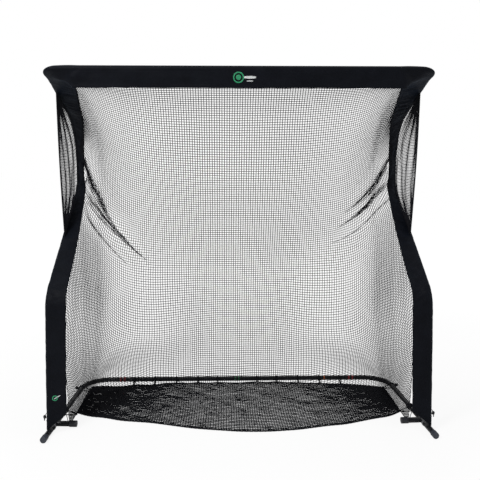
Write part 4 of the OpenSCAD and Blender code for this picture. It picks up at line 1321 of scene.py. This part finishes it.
hems = Build()
for side in (-1, 1):
    path = np.column_stack([np.full(90, side * POST_X), hem_points(np.linspace(-0.02, 1.02, 90))])
    sweep(hems, resample(path, step=0.003), 0.0036, n=10, shape=twist(0.07, 3, 0.016, np.sin))
    # two thin wavy cords just behind the hem
    for behind in (0.007, 0.0115):
        wavy = path + np.array([0, behind, 0])
        wavy[:, 0] += side * 0.0015 * np.sin(np.arange(90) * 0.9)
        sweep(hems, resample(wavy, step=0.006), 0.0013, n=6)
hems.put("hem_cords_braided", CORD, "cord", "hem_cords")


# ---------------------------------------------------------------- floor net
def floor_net():
    """Heavy net between the front rope and the seam, and a finer ply laid over it."""
    x = np.linspace(-1.084, 1.084, 134)
    back = np.linspace(0, 1, 38)[:, None]
    front_y, rear_y = rope_y(x) + 0.004, seam_y(x) - 0.003
    y = front_y + (rear_y - front_y) * back
    x = x + 0.006 * noise2(x / 0.2, back * 3 + 7, 31)
    rumple = 0.5 + 0.5 * noise2(x / 0.075 + 2 * back, back * 9 + 3, 32)
    z = 0.0042 + 0.0055 * rumple * np.sin(math.pi * back) ** 0.3
    lower = np.stack([x, y, z], -1)
    build = Build()
    strands(build, lower, np.ones(lower.shape[:2], bool), 0.0037, 0.0046, jitter=0.0012,
            seed=33)
    build.put("floor_net_mesh", NET, "net_mesh", "floor_net")
    # the upper ply's knots lie over the middles of the lower meshes
    upper = (lower[:-1, :-1] + lower[1:, :-1] + lower[:-1, 1:] + lower[1:, 1:]) * 0.25
    upper[..., 2] += 0.0022
    upper[..., 0] += 0.0016 * noise2(upper[..., 0] / 0.11, upper[..., 1] / 0.2, 35)
    upper[..., 1] += 0.0016 * noise2(upper[..., 0] / 0.13, upper[..., 1] / 0.15, 36)
    build = Build()
    strands(build, upper, np.ones(upper.shape[:2], bool), 0.0012, 0.0021, jitter=0.0010,
            seed=37)
    build.put("floor_net_upper_ply", NET, "net_mesh")


floor_net()


# ---------------------------------------------------------------- front rope, perimeter cord
def lace(build, path, pitch, width, height, skew, lowest, radius, follow):
    """Small loops round a cord. width and height are half sizes; skew leans a loop along it.

    With follow, each loop turns with the path; otherwise it stays square to x.
    """
    points = resample(path, step=pitch)
    angle = circle(10)
    for i in range(1, len(points) - 1):
        along = unit(points[i + 1] - points[i - 1]) if follow else np.array([1.0, 0, 0])
        across = np.array([-along[1], along[0], 0])
        loop = (points[i] + np.outer(width * np.cos(angle), across)
                + np.outer(height * np.sin(angle), [0, 0, 1])
                + np.outer(skew * np.sin(angle), along))
        loop[:, 2] = np.maximum(loop[:, 2], lowest)
        sweep(build, loop, radius, n=5, closed=True)


rope = Build()
path = chaikin(np.column_stack([ROPE, np.full(len(ROPE), 0.0060)]))
sweep(rope, resample(path, step=0.0025), 0.0052, n=14, shape=twist(0.11, 3, 0.030))
lace(rope, path, pitch=MESH_W, width=0.0068, height=0.0060, skew=0.0012, lowest=0.0014,
     radius=0.0011, follow=False)
rope.put("front_rope_twisted", CORD, "cord", "front_rope")

perimeter = Build()
# (x, y) from the front of the left side, round the seam, to the front of the right side
outline = [(-SIDE_CORD_X, -0.078), (-SIDE_CORD_X, 0.02), (-SIDE_CORD_X, 0.16),
           (-SIDE_CORD_X, 0.33), (-1.086, 0.385), *SEAM[1:-1], (1.066, 0.352),
           (SIDE_CORD_X, 0.305), (SIDE_CORD_X, 0.16), (SIDE_CORD_X, 0.02),
           (SIDE_CORD_X, -0.078)]
path = chaikin([(x, y, PERIMETER_Z) for x, y in outline])
sweep(perimeter, resample(path, step=0.003), 0.0037, n=10, shape=twist(0.08, 2, 0.018))
lace(perimeter, path, pitch=0.0245, width=0.0052, height=0.0045, skew=0.0015, lowest=0.0013,
     radius=0.0010, follow=True)
perimeter.put("perimeter_cord_braided", CORD, "cord", "perimeter_cord")


# ---------------------------------------------------------------- ties round the rear bar
def drop_loop(tube_r, cord_r, distance, n):
    """Taut loop in 2D round a tube at the origin and a cord at (distance, 0)."""
    slope = math.acos((tube_r - cord_r) / distance)
    arc = slope + (2 * math.pi - 2 * slope) * np.linspace(0, 1, 22)
    end = np.linspace(-slope, slope, 7)
    points = np.concatenate([
        tube_r * np.stack([np.cos(arc), np.sin(arc)], 1),
        np.array([distance, 0]) + cord_r * np.stack([np.cos(end), np.sin(end)], 1)])
    points = np.concatenate([points, points[:1]])
    length = arc_length(points)
    return sample(points, length, np.linspace(0, length[-1], n, endpoint=False))


TIE_X = (-0.780, -0.625, -0.463, -0.300, -0.150, 0.150, 0.300, 0.463, 0.625, 0.780)
TIE_CORD_R, TIE_PITCH = 0.0016, 0.0036


def tie(build, x):
    """Three turns round the rear bar and the perimeter cord, and a knot with two tails."""
    dy, dz = REAR_Y - float(seam_y(x)), BASE_Z - PERIMETER_Z
    heading = math.atan2(-dz, -dy)
    c, s = math.cos(heading), math.sin(heading)
    loop = drop_loop(TUBE_R + 0.0022, 0.0058, math.hypot(dy, dz), 40)
    y = REAR_Y + loop[:, 0] * c - loop[:, 1] * s
    z = np.maximum(BASE_Z + loop[:, 0] * s + loop[:, 1] * c, 0.0018)
    progress = np.linspace(0, 1, 40, endpoint=False)
    turns = [np.stack([x - 0.0045 + TIE_PITCH * (k + progress), y, z], 1) for k in range(3)]
    sweep(build, np.concatenate(turns), TIE_CORD_R)
    angle = circle(24)
    centre = np.array([x + 0.001, REAR_Y - TUBE_R * 0.75 - 0.002,
                       BASE_Z + TUBE_R * 0.75 + 0.002])
    knot = centre + np.stack([0.0030 * np.sin(angle) + 0.0012 * np.sin(2 * angle),
                              0.0022 * np.cos(angle),
                              0.00132 * np.cos(3 * angle) + 0.0016 * np.sin(angle)], 1)
    sweep(build, knot, TIE_CORD_R, n=7, closed=True)
    for sign in (-1, 1):
        tail = centre + np.array([[0, 0, 0], [sign * 0.006, -0.004, 0.001],
                                  [sign * 0.011, -0.009, -0.004],
                                  [sign * 0.014, -0.011, -0.011]])
        sweep(build, resample(chaikin(tail, 2), step=0.002), 0.0013, n=6)


ties = Build()
for x in TIE_X:
    tie(ties, x)
ties.put("net_ties_cord", CORD, "cord", "net_ties")

# ---------------------------------------------------------------- corner bungees and balls
BUNGEE_R = 0.0022
BUNGEE_TWIST = twist(0.06, 3, 0.008)
BUNGEE_FLOOR = 0.0026   # lowest height of the cord's axis
BUNGEE_WRAP_R = TUBE_R + 0.0026
BALL_R = 0.0122
BALL_HOLE_R, BALL_HOLE_DEPTH = 0.0026, 0.0085


def foot_point(x, y, z, side):
    """Point given along the toed foot tube: x outwards, y back from the upright."""
    c, s = math.cos(TOE), math.sin(TOE)
    return np.stack(np.broadcast_arrays(
        side * (POST_X + x * c - y * s), LEG_Y + x * s + y * c, z), -1)


def bungee(cords, balls, side, y):
    """Double loop from the foot tube to the side cord, and a ball outside the tube."""
    hub = foot_point(0, y, BASE_Z, side)
    target = np.array([side * SIDE_CORD_X, LEG_Y + y * math.cos(TOE) - 0.004, PERIMETER_Z])
    distance = np.linalg.norm(target - hub)
    inward = (target - hub) / distance
    along = unit(foot_point(0, y + 0.1, BASE_Z, side) - hub)
    across = unit(np.cross(along, inward))
    sway = 0.0015 * np.sin(np.linspace(0, 2 * math.pi, 44))
    for k in range(2):
        loop = drop_loop(BUNGEE_WRAP_R + 0.0005 * k, 0.0062, distance, 44)
        path = (hub + loop[:, :1] * inward + loop[:, 1:] * across
                + along * (0.0048 * (k - 0.5) + sway)[:, None])
        path[:, 2] = np.maximum(path[:, 2], BUNGEE_FLOOR)
        sweep(cords, path, BUNGEE_R, n=9, closed=True, shape=BUNGEE_TWIST)
    centre = foot_point(TUBE_R + 0.0155, y, BASE_Z + 0.004, side)
    out = unit(np.array([side * 1.0, 0, 0.35]))
    latitude = np.linspace(-math.pi / 2 + 0.22, math.pi / 2 - 0.22, 22)
    profile = [(BALL_HOLE_R, -BALL_HOLE_DEPTH),
               *((BALL_R * math.cos(a), BALL_R * math.sin(a)) for a in latitude),
               (BALL_HOLE_R, BALL_HOLE_DEPTH)]
    lathe(balls, profile, centre, out, n=36)
    # the cord passes through the ball's hole and ends in a knot
    tip = centre + out * 0.0125
    stem = np.array([centre - out * 0.009, centre + out * 0.004, tip])
    sweep(cords, resample(stem, step=0.002), 0.0021)
    angle = circle(20)
    knot = (tip + np.outer(0.0024 * np.cos(angle), unit(np.cross(out, [0, 1, 0])))
            + np.outer(0.0024 * np.sin(angle), [0, 1, 0]))
    sweep(cords, knot, 0.0016, n=7, closed=True)


def wound_cord(build, side, turns=7, start=0.318, pitch=0.0046):
    """Cord wound round the foot tube."""
    angle = np.linspace(0, 2 * math.pi * turns, 40 * turns)
    path = foot_point(BUNGEE_WRAP_R * np.cos(angle), start + pitch * angle / (2 * math.pi),
                      BASE_Z + BUNGEE_WRAP_R * np.sin(angle), side)
    path[:, 2] = np.maximum(path[:, 2], BUNGEE_FLOOR)
    sweep(build, path, BUNGEE_R, shape=BUNGEE_TWIST)


bungees, balls = Build(), Build()
for side in (-1, 1):
    for y in (0.300, 0.740):
        bungee(bungees, balls, side, y)
    wound_cord(bungees, side)
bungees.put("corner_bungees_cord", CORD, "cord", "corner_bungees")
balls.put("toggle_balls_moulded", TOGGLE, "toggle_plastic", "toggle_balls")

# ---------------------------------------------------------------- cord locks by the sleeve hem
# (radius, height) of the barrel
LOCK_PROFILE = [
    (0.0002, -0.0095), (0.0058, -0.0095), (0.0078, -0.0085), (0.0088, -0.006), (0.0093, 0.0),
    (0.0088, 0.006), (0.0072, 0.0082), (0.0052, 0.0086), (0.0052, 0.0100), (0.0044, 0.0110),
    (0.0002, 0.0112)]
DRAWCORD_R = 0.0015
locks, drawcords = Build(), Build()
for side in (-1, 1):
    centre = np.array([side * (POST_X + 0.0205 + 0.0095), LEG_Y, 0.110])
    lathe(locks, LOCK_PROFILE, centre, (side * 0.25, 0, 1.0), n=30)
    hem = np.array([side * (POST_X + 0.0185), LEG_Y, 0.128])
    for sign in (-1, 1):
        path = [hem + [0, sign * 0.010, 0.006],
                hem + [side * 0.008, sign * 0.011, -0.004],
                centre + [0, sign * 0.0085, 0.002],
                centre + [side * 0.001, sign * 0.0088, -0.010],
                centre + [side * 0.002, sign * 0.004, -0.021]]
        sweep(drawcords, resample(chaikin(path, 2), step=0.002), DRAWCORD_R)
    angle = circle(20)
    knot = centre + [side * 0.002, 0, -0.021] + np.stack(
        [0.0012 * np.sin(2 * angle), 0.0036 * np.cos(angle), 0.0026 * np.sin(angle)], 1)
    sweep(drawcords, knot, DRAWCORD_R, n=7, closed=True)
locks.put("sleeve_toggles_barrel", TOGGLE, "toggle_plastic", "sleeve_toggles")
drawcords.put("sleeve_drawcord", CORD, "cord")

# ---------------------------------------------------------------- webbing straps on the feet
STRAP_Y, STRAP_WIDTH = 0.062, 0.020
STRAP_RINGS, STRAP_POINTS = 9, 48


def strap(build, side):
    angle = circle(STRAP_POINTS)
    rings, heights = [], []
    for t in np.linspace(0, 1, STRAP_RINGS):
        radius = TUBE_R + 0.0006 + 0.0010 + 0.0009 * math.sin(math.pi * t) ** 0.3
        heights.append((t - 0.5) * STRAP_WIDTH)
        rings.append(foot_point((radius + 0.0003 * np.sin(5 * angle)) * np.cos(angle),
                                STRAP_Y + heights[-1], BASE_Z + radius * np.sin(angle), side))
    inner_r = TUBE_R + 0.0004
    for height in heights[::-1]:
        rings.append(foot_point(inner_r * np.cos(angle), STRAP_Y + height,
                                BASE_Z + inner_r * np.sin(angle), side))
    shape = (len(rings), STRAP_POINTS)
    faces = ring_faces(*shape, closed=True)
    uv = np.stack([np.broadcast_to(angle / (2 * math.pi), shape),
                   np.broadcast_to(np.array(heights + heights[::-1])[:, None], shape)], -1)
    build.add(rings, [faces if side > 0 else faces[:, ::-1]], uv)


straps = Build()
for side in (-1, 1):
    strap(straps, side)
straps.put("foot_straps_webbing", WEBBING, "webbing", "foot_straps")

# ---------------------------------------------------------------- stage, light and camera
scene = bpy.context.scene


def studio_world():
    """White to the camera, dimmer as a light on the scene."""
    world = bpy.data.worlds.new("studio")
    scene.world = world
    world.use_nodes = True
    tree = world.node_tree
    background = tree.nodes["Background"]
    background.inputs["Color"].default_value = (1, 1, 1, 1)
    rays = tree.nodes.new("ShaderNodeLightPath")
    strength = tree.nodes.new("ShaderNodeMapRange")
    strength.inputs["To Min"].default_value = 0.32
    strength.inputs["To Max"].default_value = 1.0
    tree.links.new(rays.outputs["Is Camera Ray"], strength.inputs["Value"])
    tree.links.new(strength.outputs["Result"], background.inputs["Strength"])


def studio_floor():
    """Pale floor that glows to the camera, more so with distance from the origin."""
    s = Shader("studio_floor")
    cloud = s.noise(s.coords(), scale=3.0, detail=3.0)
    camera_ray = s.node("ShaderNodeLightPath").outputs["Is Camera Ray"]
    pale = s.ramp(cloud, at=(0.3, 0.7), colors=((0.90, 0.90, 0.90), (0.93, 0.93, 0.93)))
    position = s.node("ShaderNodeNewGeometry").outputs["Position"]
    distance = s.node("ShaderNodeVectorMath", operation="LENGTH", Vector=position)
    glow = s.node("ShaderNodeMapRange", **{
        "From Min": 1.4, "From Max": 5.0, "To Min": 0.89, "To Max": 0.96,
        "Value": distance.outputs["Value"]})
    s.set({"Roughness": 0.95, "Specular IOR Level": 0.0,
           "Base Color": s.mix(camera_ray, pale, (0.12, 0.12, 0.12)),
           "Emission Color": (1, 1, 1, 1),
           "Emission Strength": s.math("MULTIPLY", camera_ray, glow.outputs["Result"])})
    bpy.ops.mesh.primitive_plane_add(size=60, location=(0, 10, -0.0006))
    floor = bpy.context.object
    floor.name = "studio_floor_plane"
    floor.data.materials.append(s.material)


def area_light(name, location, target, size, power):
    light = bpy.data.lights.new(name, "AREA")
    light.shape = "RECTANGLE"
    light.size, light.size_y = size
    light.energy = power
    obj = bpy.data.objects.new(name, light)
    scene.collection.objects.link(obj)
    obj.location = location
    x, y, z = np.array(target, float) - np.array(location, float)
    obj.rotation_euler = (math.atan2(math.hypot(x, y), -z), 0, math.atan2(y, x) - math.pi / 2)


def add_camera():
    data = bpy.data.cameras.new("camera")
    data.sensor_width = 36
    data.lens = 49.70
    data.shift_x = 0.0018
    data.shift_y = -0.136
    camera = bpy.data.objects.new("camera", data)
    camera.location = (-0.1126, -4.4957, 1.768)
    pitch, yaw = -0.0372, -0.0255
    camera.rotation_euler = (math.pi / 2 + pitch, 0, yaw)
    scene.collection.objects.link(camera)
    scene.camera = camera


studio_world()
studio_floor()
area_light("key", location=(-2.6, -3.6, 4.4), target=(0, 0, 1.0), size=(1.4, 1.0), power=150)
area_light("fill", location=(4.6, -2.0, 2.2), target=(0, 0, 1.0), size=(1.4, 2.0), power=30)
area_light("top", location=(0, 0.2, 5.6), target=(0, 0, 0), size=(5.0, 4.0), power=70)
area_light("back", location=(0, 5.0, 3.0), target=(0, 0, 1.2), size=(5.0, 2.5), power=30)
add_camera()
scene.view_settings.view_transform = "Standard"
